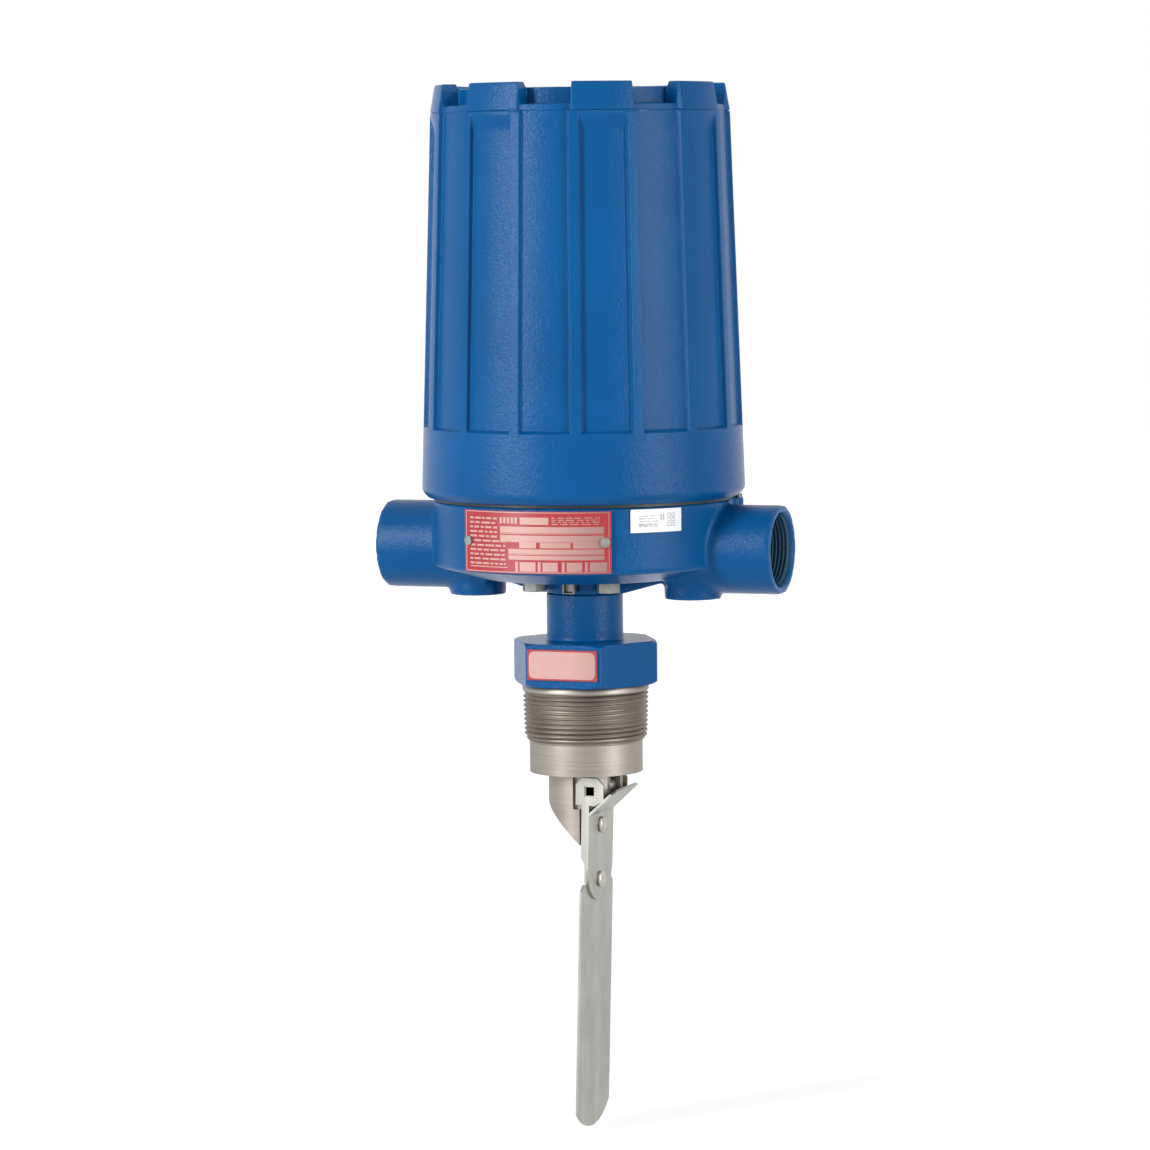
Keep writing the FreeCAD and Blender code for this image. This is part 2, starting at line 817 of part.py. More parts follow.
def make_pivot_shaft():
    """Round shaft in the bushes with squared, hollow ends in the bracket ears."""
    half = size("shaft_half")
    square = size("shaft_square")
    journal = cylinder(size("journal_radius"), flat_half_span * 2, (pivot_x, -flat_half_span, pivot_z), "+Y")
    ends = block((pivot_x - square / 2, -half, pivot_z - square / 2),
                 (pivot_x + square / 2, half, pivot_z + square / 2))
    cross_hole = cylinder(size("foot_pin_radius"), 12, (pivot_x, 0, pivot_z - 6), "+Z")
    socket = size("socket_square") / 2
    sockets = []
    for side in (-1, 1):
        start = half - size("socket_depth") if side > 0 else -half - 1
        sockets.append(block((pivot_x - socket, start, pivot_z - socket),
                             (pivot_x + socket, start + size("socket_depth") + 1, pivot_z + socket)))
    return lean(finish(cut(fuse(journal, ends), cross_hole, *sockets), "pivot_shaft"))


def make_drive_fork():
    """Forked finger on the shaft. Its two round noses press the stem's cross pin down."""
    inner = size("fork_inner")
    outer = size("fork_outer")
    arm = size("fork_arm")
    nose = size("fork_nose_radius")
    tilt = size("fork_tilt") - size("vane_lean")
    hub_radius = size("fork_hub_radius")
    tip_x = pivot_x - arm * cosine(tilt)
    tip_z = pivot_z + arm * sine(tilt)
    body = new_body("drive_fork")
    sketch = sketch_on(body, "XZ_Plane")
    draw_circle(sketch, hub_radius, pivot_x, pivot_z)
    extrude(body, "Pad", sketch, outer * 2, midplane=True)
    for side in (-1, 1):
        offset = as_size(-outer if side < 0 else inner)
        depth = outer - inner
        sketch = sketch_on(body, "XZ_Plane", -offset - depth)
        across = nose * sine(tilt)
        along = nose * cosine(tilt)
        draw_outline(sketch, [
            (tip_x - across, tip_z - along), (pivot_x - across, pivot_z - along),
            (pivot_x + across, pivot_z + along), (tip_x + across, tip_z + along),
        ])
        extrude(body, "Pad", sketch, depth)
        sketch = sketch_on(body, "XZ_Plane", -offset - depth)
        draw_circle(sketch, nose, tip_x, tip_z)
        extrude(body, "Pad", sketch, depth)
    sketch = sketch_on(body, "XZ_Plane")
    draw_circle(sketch, size("journal_radius") + fit_gap, pivot_x, pivot_z)
    extrude(body, "Pocket", sketch, outer * 2 + 2, midplane=True)
    sketch = sketch_on(body, "XY_Plane", pivot_z + hub_radius + 1)
    draw_circle(sketch, size("foot_pin_radius"), pivot_x, 0)
    extrude(body, "Pocket", sketch, hub_radius * 2 + 2)
    return lean(body)


def make_fork_pin():
    reach = size("fork_hub_radius") - 0.4
    radius = size("foot_pin_radius") - fit_gap
    return lean(finish(group(cylinder(radius, reach * 2, (pivot_x, 0, pivot_z - reach))), "fork_pin"))


# ----------------------------------------------------------------------------- stem

def make_stem():
    foot = foot_pin_z - 2.2
    body = turned("stem", [
        (0, foot), (stem_radius, foot), (stem_radius, size("stem_top") - 1),
        (stem_radius - 0.8, size("stem_top")), (0, size("stem_top")),
    ])
    sketch = sketch_on(body, "XZ_Plane")
    draw_circle(sketch, size("foot_pin_radius"), 0, foot_pin_z)
    extrude(body, "Pocket", sketch, stem_radius * 2 + 2, midplane=True)
    return body


def make_foot_pin():
    half = size("fork_outer") - 0.3
    radius = size("foot_pin_radius") - fit_gap / 2
    return finish(cylinder(radius, half * 2, (0, -half, foot_pin_z), "+Y"), "foot_pin")


def make_attraction_sleeve():
    inner = stem_radius + fit_gap
    outer = size("sleeve_radius")
    low = size("sleeve_low")
    high = size("sleeve_high")
    return turned("attraction_sleeve", [
        (inner, low), (outer - 1, low), (outer, low + 1), (outer, high - 1), (outer - 1, high), (inner, high),
    ])


def make_jam_nuts():
    height = size("jam_nut_height")
    nuts = []
    for level in (size("sleeve_low") - height, size("sleeve_high")):
        nut = hexagon(size("jam_nut_flats"), height, (0, 0, level))
        nuts.append(cut(nut, cylinder(stem_radius + fit_gap, height, (0, 0, level))))
    return finish(group(*nuts), "jam_nuts")


def make_spring_cup():
    inner = stem_radius + fit_gap
    level = size("spring_cup_level")
    outer = size("spring_radius") + 1.6
    return turned("spring_cup", [
        (inner, level), (outer - 1, level), (outer - 1, level - 2), (outer, level - 2),
        (outer, level + 1.5), (inner, level + 1.5),
    ])


def make_return_spring():
    low = size("chamber_floor") + size("guide_height") + fit_gap
    high = size("spring_cup_level") - fit_gap
    return turned("return_spring", ring(size("spring_radius") - 1.2, size("spring_radius"), low, high))


# ----------------------------------------------------------------------------- pressure boundary

def make_stem_guide():
    floor = size("chamber_floor")
    return turned("stem_guide", ring(
        stem_radius + running_gap, size("chamber_radius") - fit_gap, floor, floor + size("guide_height")))


def make_enclosing_tube():
    """Closed non-magnetic tube that keeps the process fluid away from the switch."""
    top = size("tube_top")
    bore = size("tube_bore")
    low = seat_level + seal_gauge
    return turned("enclosing_tube", [
        (bore, low), (size("tube_flange_radius"), low), (size("tube_flange_radius"), flange_top),
        (size("tube_radius"), flange_top), (size("tube_radius"), top - 3), (size("tube_radius") - 3, top),
        (0, top), (0, top - 2), (bore - 2.4, top - 2), (bore, top - 4),
    ])


def make_tube_nut():
    """Hollow nut in the bushing's counterbore, with a hexagon head above the spigot."""
    low = flange_top + fit_gap
    head_low = higher(spigot_top, plate_top) + 0.4
    shank = cylinder(size("seat_radius") - fit_gap, head_low - low, (0, 0, low))
    head = hexagon(size("nut_flats"), size("nut_height"), (0, 0, head_low))
    bore = cylinder(size("tube_radius") + loose_gap, size("nut_height") + 20, (0, 0, low))
    return finish(cut(fuse(shank, head), bore), "tube_nut")


def make_tube_seal():
    """Flat ring between the bushing's seat and the flange of the tube."""
    return turned("tube_seal", ring(
        size("chamber_radius") + 0.5, size("tube_flange_radius") - 0.2, seat_level, seat_level + seal_gauge))


# ----------------------------------------------------------------------------- housing base

def make_housing_base():
    """Cast bowl with two conduit hubs, two blind outlets, a cover spout and a collar below."""
    radius = size("base_radius")
    collar_bore = size("spigot_radius") + running_gap
    collar = size("collar_start")
    underside = size("underside")
    wall_low = size("wall_low")
    spout_top = base_rim + size("spout_rise")
    body = new_body("housing_base")
    sketch = sketch_on(body, "XZ_Plane")
    draw_outline(sketch, [
        (collar_bore, neck_top), (collar, neck_top), (collar, underside),
        (size("underside_radius"), underside), (radius - 0.6, wall_low),
        (radius, wall_low + 0.6), (radius, base_rim), (size("spout_radius"), base_rim),
        (size("spout_radius"), spout_top), (collar_bore, spout_top),
    ])
    spin(body, "Revolution", sketch)
    add_webs(body)
    add_hubs(body)
    hollow_base(body, collar_bore, spout_top)
    drill_base(body)
    return body


def add_webs(body):
    """Tapering webs under the bowl, from the collar out towards the outlets."""
    underside = size("underside")
    start = size("collar_start") - 1.6
    level = start + 3.5
    end = level + (underside - neck_top) / size("web_slope")
    for side in (-1, 1):
        sketch = sketch_on(body, "XZ_Plane")
        draw_outline(sketch, [
            (start * side, neck_top), (level * side, neck_top), (end * side, underside),
            (end * side, underside + 1), (start * side, underside + 1),
        ])
        extrude(body, "Pad", sketch, size("web_half_width") * 2, midplane=True)


def add_hubs(body):
    """Horizontal hubs, downward outlets and the lug for the cover lock screw."""
    inner = size("hub_inner")
    outer = size("hub_half_span")
    for side in (-1, 1):
        start = inner if side > 0 else -outer
        sketch = sketch_on(body, "YZ_Plane", start)
        draw_circle(sketch, size("hub_radius"), 0, size("hub_level"))
        extrude(body, "Pad", sketch, outer - inner)
        sketch = sketch_on(body, "XY_Plane", size("outlet_bottom"))
        draw_circle(sketch, size("outlet_radius"), size("outlet_offset") * side, 0)
        extrude(body, "Pad", sketch, size("hub_level") - size("outlet_bottom"))
    low = base_rim - size("lock_lug_height")
    sketch = sketch_on(body, "XY_Plane", low)
    centre_x, centre_y = on_circle(size("lock_lug_centre"), LOCK_ANGLE)
    draw_circle(sketch, size("lock_lug_radius"), centre_x, centre_y)
    extrude(body, "Pad", sketch, size("lock_lug_height"))
    sketch = sketch_on(body, "XY_Plane", base_rim + 1)
    centre_x, centre_y = on_circle(size("lock_screw_centre"), LOCK_ANGLE)
    draw_circle(sketch, size("lock_screw_radius") + fit_gap, centre_x, centre_y)
    extrude(body, "Pocket", sketch, size("lock_lug_height") + 2)


def hollow_base(body, collar_bore, spout_top):
    """Wiring space, spout bore and the two conduit entries."""
    floor = base_floor
    cavity = size("cavity_radius")
    sketch = sketch_on(body, "XZ_Plane")
    draw_outline(sketch, [
        (0, floor), (cavity - 4, floor), (cavity, floor + 4), (cavity, base_rim - 3),
        (size("spout_bore"), base_rim), (size("spout_bore"), spout_top + 2), (0, spout_top + 2),
    ])
    spin(body, "Groove", sketch)
    conduit = size("conduit_radius")
    mouth = conduit + size("conduit_chamfer")
    end = size("conduit_end")
    face = size("hub_half_span")
    sketch = sketch_on(body, "XZ_Plane")
    draw_outline(sketch, ring(0, collar_bore, neck_top - 2, floor + 2))
    spin(body, "Groove", sketch)
    for side in (-1, 1):
        start = end if side > 0 else -face - 1
        sketch = sketch_on(body, "YZ_Plane", start)
        draw_circle(sketch, conduit if side > 0 else size("plug_bore_radius"), 0, size("hub_level"))
        extrude(body, "Pocket", sketch, face - end + 1, backward=True)
        start = face - 2 if side > 0 else -face - 1
        sketch = sketch_on(body, "YZ_Plane", start)
        draw_circle(sketch, mouth, 0, size("hub_level"))
        extrude(body, "Pocket", sketch, 3, backward=True)


def drill_base(body):
    """Holes for the base bolts, the collar's set screw and the nameplate's drive pins."""
    low = size("underside")
    sketch = sketch_on(body, "XY_Plane", base_floor + 1, bolt_angles[0])
    draw_circle(sketch, size("bolt_radius") + 0.2, 0, bolt_circle)
    around(body, extrude(body, "Pocket", sketch, base_floor + 2 - low), 4)
    sketch = sketch_on(body, "XZ_Plane", size("collar_start") + 1)
    draw_circle(sketch, size("set_screw_radius") + fit_gap, 0, size("set_screw_level"))
    extrude(body, "Pocket", sketch, 8)
    for angle in (-PLATE_PIN_ANGLE, PLATE_PIN_ANGLE):
        sketch = sketch_on(body, "XZ_Plane", size("base_radius") + 1, angle)
        draw_circle(sketch, size("drive_pin_radius") + fit_gap, 0, plate_middle)
        extrude(body, "Pocket", sketch, 5)


def make_base_bolts():
    """Four hexagon-head screws from below, holding the switch plate to the base."""
    bolts = []
    head_low = size("underside") - size("washer_gauge") - size("bolt_head_height")
    for angle in bolt_angles:
        x, y = on_circle(bolt_circle, angle)
        head = hexagon(size("bolt_head_flats"), size("bolt_head_height"), (x, y, head_low))
        length = plate_top - head_low - 0.5
        shank = cylinder(size("bolt_radius"), length, (x, y, head_low))
        bolts.append(fuse(head, shank))
    return finish(group(*bolts), "base_bolts")


def make_base_washers():
    washers = []
    low = size("underside") - size("washer_gauge")
    for angle in bolt_angles:
        x, y = on_circle(bolt_circle, angle)
        disc = cylinder(size("washer_radius"), size("washer_gauge"), (x, y, low))
        hole = cylinder(size("bolt_radius") + 0.2, size("washer_gauge"), (x, y, low))
        washers.append(cut(disc, hole))
    return finish(group(*washers), "base_washers")


def make_collar_set_screw():
    """Square-headed screw that clamps the collar of the base on the bushing's spigot."""
    level = size("set_screw_level")
    half = size("set_screw_flats") / 2
    end = size("set_screw_end")
    start = size("spigot_radius") + fit_gap
    head = block((-half, -end, level - half), (half, -(size("collar_start") + 0.3), level + half))
    shank = cylinder(size("set_screw_radius"), end - start - 1, (0, -(end - 1), level), "+Y")
    return finish(fuse(head, shank), "collar_set_screw")


# ----------------------------------------------------------------------------- plates and small parts

def curved_plate(label, low, high, gauge, angle, sweep):
    """A thin plate bent round the wall of the base."""
    inner = size("base_radius") + size("bent_gap")
    body = new_body(label)
    sketch = section_at(body, angle)
    draw_outline(sketch, ring(inner, inner + gauge, low, high))
    spin(body, "Revolution", sketch, sweep, midplane=True)
    return body


def make_nameplate():
    body = curved_plate("nameplate", size("nameplate_low"), size("nameplate_high"),
                        size("nameplate_gauge"), 0, NAMEPLATE_SWEEP)
    for angle in (-PLATE_PIN_ANGLE, PLATE_PIN_ANGLE):
        sketch = sketch_on(body, "XZ_Plane", size("base_radius") + 3, angle)
        draw_circle(sketch, size("drive_pin_radius") + fit_gap, 0, plate_middle)
        extrude(body, "Pocket", sketch, 6)
    return body


def make_drive_pins():
    """Round-headed pins at both ends of the nameplate."""
    face = size("base_radius") + size("bent_gap") + size("nameplate_gauge")
    pins = []
    for angle in (-PLATE_PIN_ANGLE, PLATE_PIN_ANGLE):
        turn = Rotation(Vector(0, 0, 1), angle - 90) * Rotation(Vector(0, 1, 0), 90)
        x, y = on_circle(face + 0.08, angle)
        head = cylinder(size("drive_pin_head"), 0.9)
        place(head, (x, y, plate_middle), turn=turn)
        x, y = on_circle(face - 4.5, angle)
        shank = cylinder(size("drive_pin_radius"), 4.8)
        place(shank, (x, y, plate_middle), turn=turn)
        pins.append(fuse(head, shank))
    return finish(group(*pins), "nameplate_pins")


def make_rating_tag():
    sweep = size("tag_width") / (size("base_radius") * math.pi / 180)
    return curved_plate("rating_tag", size("tag_low"), size("tag_high"), size("tag_gauge"), TAG_ANGLE, sweep)


def make_flow_plate():
    """Flat plate with the flow arrow, on the front face of the hexagon."""
    half = size("flow_plate_width") / 2
    face = -(size("hex_flats") / 2 + fit_gap)
    low = size("flow_plate_low")
    plate = block((-half, face - size("flow_plate_gauge"), low), (half, face, size("flow_plate_high")))
    return finish(plate, "flow_plate")


def make_cover_lock_screw():
    x, y = on_circle(size("lock_screw_centre"), LOCK_ANGLE)
    radius = size("lock_screw_radius")
    low = base_rim - size("lock_lug_height") + 0.5
    body = cylinder(radius, cover_foot - 0.2 - low, (x, y, low))
    socket = hexagon(2, 2.5, (x, y, low - 0.5))
    return finish(cut(body, socket), "cover_lock_screw")


def make_conduit_plug():
    """Recessed hexagon-socket plug that closes the upstream conduit entry."""
    face = size("hub_half_span") - 2.5
    length = size("plug_length")
    plug = cylinder(size("plug_bore_radius") - fit_gap, length, (-face, 0, size("hub_level")), "+X")
    socket = hexagon(size("plug_socket_flats"), length * 0.6, (-face, 0, size("hub_level")), "+X")
    return finish(cut(plug, socket), "conduit_plug")


# ----------------------------------------------------------------------------- cover

def make_cover_gasket():
    low = base_rim + fit_gap
    return turned("cover_gasket", ring(
        size("spout_radius") + 0.8, size("gasket_radius"), low, low + size("gasket_gauge")))


def cover_radius(level):
    """Outer radius of the tapered wall of the cover at a height."""
    foot = cover_foot + size("cover_foot_cut")
    share = (as_size(level) - foot) / (size("cover_shoulder") - foot)
    drop = size("cover_foot_radius") - size("cover_shoulder_radius")
    return size("cover_foot_radius") - drop * share


def make_housing_cover():
    """Tall tapered cup with sixteen sunk panels between ribs and eight lugs round its top."""
    foot_cut = size("cover_foot_cut")
    bore = size("spout_radius") + 0.25
    top = size("cover_top")
    cap = size("cap_level")
    body = new_body("housing_cover")
    sketch = sketch_on(body, "XZ_Plane")
    draw_outline(sketch, [
        (bore, cover_foot), (size("cover_foot_radius") - foot_cut, cover_foot),
        (size("cover_foot_radius"), cover_foot + foot_cut),
        (size("cover_shoulder_radius"), size("cover_shoulder")), (size("cover_top_radius"), top),
        (size("cap_radius") + 1, top), (size("cap_radius"), cap), (0, cap), (0, size("cover_roof")),
        (size("cover_roof_radius") - 5, size("cover_roof")),
        (size("cover_roof_radius"), size("cover_roof") - 5),
        (size("cover_cavity_radius"), size("cover_thread_top") + 2), (bore, size("cover_thread_top")),
    ])
    spin(body, "Revolution", sketch)
    sink_panels(body)
    sketch = section_at(body, FIRST_NOTCH_ANGLE)
    draw_outline(sketch, ring(size("cap_radius"), size("cover_foot_radius"), size("crown_floor"), top + 1))
    around(body, spin(body, "Groove", sketch, size("notch_angle"), midplane=True), PANEL_COUNT // 2)
    return body


def sink_panels(body):
    """Sunk panels, evenly spaced, from the plain band at the foot up to the crown. Below each
    notch they run to its floor; below each lug they fade out."""
    depth = size("panel_depth")
    low = size("panel_floor")
    floor = size("crown_floor")
    fade = size("panel_fade")
    shoulder = size("cover_shoulder")
    shoulder_radius = size("cover_shoulder_radius")
    outside = size("cover_foot_radius") + 2
    foot = [(cover_radius(low) - depth, low + depth * 0.5), (cover_radius(low) + 0.2, low)]
    tops = [
        [(outside, low), (outside, floor), (shoulder_radius - depth - 0.4, floor),
         (shoulder_radius - depth, shoulder)],
        [(outside, low), (outside, floor + 1), (shoulder_radius + 0.2, floor + 1),
         (shoulder_radius - depth * 0.2, shoulder - 1), (cover_radius(fade) - depth, fade)],
    ]
    sweep = 360 / PANEL_COUNT - size("rib_angle")
    for angle, top in zip((FIRST_NOTCH_ANGLE, FIRST_NOTCH_ANGLE + 360 / PANEL_COUNT), tops):
        sketch = section_at(body, angle)
        draw_outline(sketch, foot + top)
        around(body, spin(body, "Groove", sketch, sweep, midplane=True), PANEL_COUNT // 2)


PANEL_COUNT = 16
FIRST_NOTCH_ANGLE = 51.15


# ----------------------------------------------------------------------------- switch

web_face = size("web_face")
web_back = web_face + size("web_gauge")
web_left = size("web_left")
web_right = size("web_right")
arm_x = size("magnet_pivot_x")
arm_z = size("magnet_pivot_z")
arm_back = size("arm_face") + size("arm_gauge")
switch_left = size("switch_left")
switch_right = switch_left + size("switch_depth")
switch_front = web_face - fit_gap - size("switch_gauge")
foot_screw_y = web_back + size("foot_reach") / 2 + 1
switch_holes = [(switch_left + 5, size("switch_low") + 3.2), (switch_right - 3, size("switch_high") - 3.2)]
post_x = web_right - 5
post_z = size("arm_low") + 3
pin_radius = size("pin_radius")


def make_switch_plate():
    """Round plate on the floor of the base, drilled for the base bolts and the small screws."""
    low = size("plate_low")
    body = new_body("switch_plate")
    sketch = sketch_on(body, "XY_Plane", low + fit_gap)
    draw_circle(sketch, size("plate_radius"))
    extrude(body, "Pad", sketch, size("plate_gauge") - fit_gap)
    holes = [(size("spigot_radius") + loose_gap, 0, 0)]
    for angle in bolt_angles:
        holes.append((size("bolt_radius") + fit_gap, *on_circle(bolt_circle, angle)))
    for x in (web_left + 6, web_right - 11):
        holes.append((size("small_screw_radius") + fit_gap, x, foot_screw_y))
    holes.append((size("ground_screw_radius") + fit_gap, -28, -28))
    for radius, x, y in holes:
        sketch = sketch_on(body, "XY_Plane", plate_top + 1)
        draw_circle(sketch, radius, x, y)
        extrude(body, "Pocket", sketch, size("plate_gauge") + 2)
    return body


def make_switch_frame():
    """Upright sheet with a folded foot. It carries the arm's pivot, the switch and the terminals."""
    low = plate_top + fit_gap
    top = size("web_top")
    gauge = size("web_gauge")
    body = new_body("switch_frame")
    sketch = sketch_on(body, "XZ_Plane", -web_back)
    draw_outline(sketch, [
        (web_left, low), (web_right, low), (web_right, top - 22), (web_right - 12, top),
        (web_left + 3, top), (web_left, top - 3),
    ])
    extrude(body, "Pad", sketch, gauge)
    sketch = sketch_on(body, "YZ_Plane", web_left)
    reach = web_back + size("foot_reach")
    draw_outline(sketch, [(web_face, low), (reach, low), (reach, low + gauge), (web_face, low + gauge)])
    extrude(body, "Pad", sketch, web_right - web_left)
    holes = [(pin_radius + fit_gap, arm_x, arm_z), (pin_radius + fit_gap, post_x, post_z)]
    holes += [(size("small_screw_radius") + fit_gap, x, z) for x, z in switch_holes]
    for radius, x, z in holes:
        sketch = sketch_on(body, "XZ_Plane", -(web_back + 1))
        draw_circle(sketch, radius, x, z)
        extrude(body, "Pocket", sketch, gauge + 2, backward=True)
    for x in (web_left + 6, web_right - 11):
        sketch = sketch_on(body, "XY_Plane", low + gauge + 1)
        draw_circle(sketch, size("small_screw_radius") + fit_gap, x, foot_screw_y)
        extrude(body, "Pocket", sketch, gauge + 2)
    return body


def make_frame_screws():
    top = plate_top + size("web_gauge") + fit_gap * 2
    screws = []
    for x in (web_left + 6, web_right - 11):
        shank = cylinder(size("small_screw_radius"), top - size("plate_low") - 0.5,
                         (x, foot_screw_y, size("plate_low") + 0.5))
        head = cylinder(size("small_screw_radius") * 1.9, 2.2, (x, foot_screw_y, top))
        screws.append(fuse(shank, head))
    return finish(group(*screws), "frame_screws")


def make_magnet_arm():
    """Hinged strip with two ears at the top, hanging between the tube and the switch."""
    half = size("arm_half_width")
    gauge = size("arm_gauge")
    face = size("arm_face")
    body = new_body("magnet_arm")
    sketch = sketch_on(body, "XZ_Plane")
    draw_outline(sketch, [
        (face, size("arm_low")), (arm_back, size("arm_low")), (arm_back, arm_z + 3), (face, arm_z + 3),
    ])
    extrude(body, "Pad", sketch, half * 2, midplane=True)
    for start in (-half, half - gauge):
        sketch = sketch_on(body, "XZ_Plane", -(start + gauge))
        draw_outline(sketch, [
            (face, arm_z - 4), (arm_x + 1, arm_z - 3.4), (arm_x + 3.4, arm_z - 1),
            (arm_x + 3.4, arm_z + 3), (face, arm_z + 3),
        ])
        extrude(body, "Pad", sketch, gauge)
    sketch = sketch_on(body, "XZ_Plane")
    draw_circle(sketch, pin_radius + running_gap, arm_x, arm_z)
    extrude(body, "Pocket", sketch, half * 2 + 2, midplane=True)
    return body


def make_arm_pivot():
    half = size("arm_half_width")
    pin = cylinder(pin_radius, half + 1 + web_back + 0.5, (arm_x, -(half + 1), arm_z), "+Y")
    head = cylinder(pin_radius * 1.6, 1, (arm_x, -(half + 2), arm_z), "+Y")
    return finish(fuse(pin, head), "arm_pivot")


def make_permanent_magnet():
    half = size("arm_half_width")
    face = size("arm_face")
    low = size("magnet_low")
    magnet = block((size("magnet_left"), -half, low), (face, half, size("magnet_high")))
    return finish(magnet, "permanent_magnet")


def make_magnet_spring():
    radius = size("coil_radius")
    start = arm_back + fit_gap
    length = post_x - pin_radius - fit_gap - start
    outer = cylinder(radius, length, (start, 0, post_z), "+X")
    return finish(cut(outer, cylinder(radius - 0.7, length, (start, 0, post_z), "+X")), "magnet_spring")


def make_spring_post():
    reach = size("coil_radius") + 1
    pin = cylinder(pin_radius, reach + web_back + 0.5, (post_x, -reach, post_z), "+Y")
    return finish(pin, "spring_post")


def make_microswitch():
    """Snap switch body with a plunger bore facing the arm."""
    body = block((switch_left, switch_front, size("switch_low")),
                 (switch_right, web_face - fit_gap, size("switch_high")))
    centre_y = (switch_front + web_face) / 2
    mouth = (switch_left - 1, centre_y, size("plunger_level"))
    bore = cylinder(size("plunger_radius") + running_gap, 7, mouth, "+X")
    holes = [cylinder(size("small_screw_radius") + fit_gap, 20, (x, switch_front - 2, z), "+Y")
             for x, z in switch_holes]
    return finish(cut(body, bore, *holes), "microswitch")


def make_switch_plunger():
    centre_y = (switch_front + web_face) / 2
    start = arm_back + fit_gap * 2
    plunger = cylinder(size("plunger_radius"), switch_left + 3.5 - start,
                       (start, centre_y, size("plunger_level")), "+X")
    return finish(plunger, "switch_plunger")


def make_switch_screws():
    screws = []
    for x, z in switch_holes:
        start = switch_front - 2 - fit_gap
        head = cylinder(size("small_screw_radius") * 1.8, 2, (x, start, z), "+Y")
        shank = cylinder(size("small_screw_radius"), web_back + 1 - start, (x, start, z), "+Y")
        screws.append(fuse(head, shank))
    return finish(group(*screws), "switch_screws")


TAB_LEVELS = (3.5, 14.0, 24.5)


def make_switch_terminals():
    """Three blade terminals at the back of the switch."""
    tabs = []
    middle = (switch_front + web_face) / 2
    for level in TAB_LEVELS:
        low = size("switch_low") + level - 2.4
        tabs.append(block((switch_right + fit_gap, middle - 0.4, low),
                          (switch_right + 6.5, middle + 0.4, low + 4.8)))
    return finish(group(*tabs), "switch_terminals")


def make_terminal_block():
    """Insulated block with stepped barriers between its three ways."""
    low = size("terminal_low")
    high = size("terminal_high")
    front = -size("terminal_front")
    body = new_body("terminal_block")
    sketch = sketch_on(body, "XY_Plane", low)
    left = web_left + 1
    pitch = size("terminal_pitch")
    rib = 0.8
    corners = [(left - rib, web_face - fit_gap), (left - rib, front - 3)]
    for way in range(3):
        start = left + pitch * way
        corners += [(start + rib, front - 3), (start + rib, front)]
        corners += [(start + pitch - rib, front), (start + pitch - rib, front - 3)]
    corners += [(left + pitch * 3 + rib, front - 3), (left + pitch * 3 + rib, web_face - fit_gap)]
    draw_outline(sketch, corners)
    extrude(body, "Pad", sketch, high - low)
    return body


def make_terminal_screws():
    front = -size("terminal_front")
    pitch = size("terminal_pitch")
    screws = []
    for way in range(3):
        for level in (size("terminal_low") + 5, size("terminal_high") - 5):
            x = web_left + 1 + pitch * (way + 0.5)
            head = cylinder(2.3, 1.8, (x, front - 1.8 - fit_gap, level), "+Y")
            screws.append(head)
    return finish(group(*screws), "terminal_screws")


def make_lead_wires():
    """Three insulated leads from the switch tabs down to the terminals."""
    radius = size("lead_radius")
    pitch = size("terminal_pitch")
    front = -size("terminal_front")
    middle = (switch_front + web_face) / 2
    leads = []
    for way, level in enumerate(TAB_LEVELS):
        start = switch_right + 6.6
        tab_z = size("switch_low") + level
        run_x = start + 3 * (way + 0.6)
        turn_z = size("terminal_high") + 4 + 4 * way
        front_y = front - radius - 0.4
        end_x = web_left + 1 + pitch * (way + 0.5)
        pieces = [
            cylinder(radius, run_x - start, (start, middle, tab_z), "+X"),
            cylinder(radius, tab_z - turn_z, (run_x, middle, turn_z), "+Z"),
            cylinder(radius, middle - front_y, (run_x, front_y, turn_z), "+Y"),
            cylinder(radius, run_x - end_x, (end_x, front_y, turn_z), "+X"),
            cylinder(radius, turn_z - size("terminal_high") + 1.8,
                     (end_x, front_y, size("terminal_high") - 1.8), "+Z"),
        ]
        for corner in ((run_x, middle, tab_z), (run_x, middle, turn_z), (run_x, front_y, turn_z),
                       (end_x, front_y, turn_z)):
            ball = doc.addObject("Part::Sphere", "elbow")
            bind(ball, "Radius", radius)
            pieces.append(place(ball, corner))
        leads.append(fuse(*pieces))
    return finish(group(*leads), "lead_wires")


def make_ground_screw():
    radius = size("ground_screw_radius")
    low = size("plate_low") + 0.5
    shank = cylinder(radius, plate_top + fit_gap - low, (-28, -28, low))
    head = cylinder(radius * 1.9, 3, (-28, -28, plate_top + fit_gap))
    return finish(fuse(shank, head), "ground_screw")


# ----------------------------------------------------------------------------- build and export

MAKERS = [
    make_process_bushing, make_pivot_bushes, make_vane_bracket, make_vane_blade, make_vane_rivets,
    make_pivot_shaft, make_drive_fork, make_fork_pin, make_stem, make_foot_pin, make_attraction_sleeve,
    make_jam_nuts, make_spring_cup, make_return_spring, make_stem_guide, make_tube_seal,
    make_enclosing_tube, make_tube_nut, make_housing_base, make_base_bolts, make_base_washers,
    make_collar_set_screw, make_nameplate, make_drive_pins, make_rating_tag, make_flow_plate,
    make_cover_lock_screw, make_conduit_plug, make_cover_gasket, make_housing_cover,
    make_switch_plate, make_switch_frame, make_frame_screws, make_magnet_arm, make_arm_pivot,
    make_permanent_magnet, make_magnet_spring, make_spring_post, make_microswitch,
    make_switch_plunger, make_switch_screws, make_switch_terminals, make_terminal_block,
    make_terminal_screws, make_lead_wires, make_ground_screw,
]
for maker in MAKERS:
    maker()
doc.recompute()

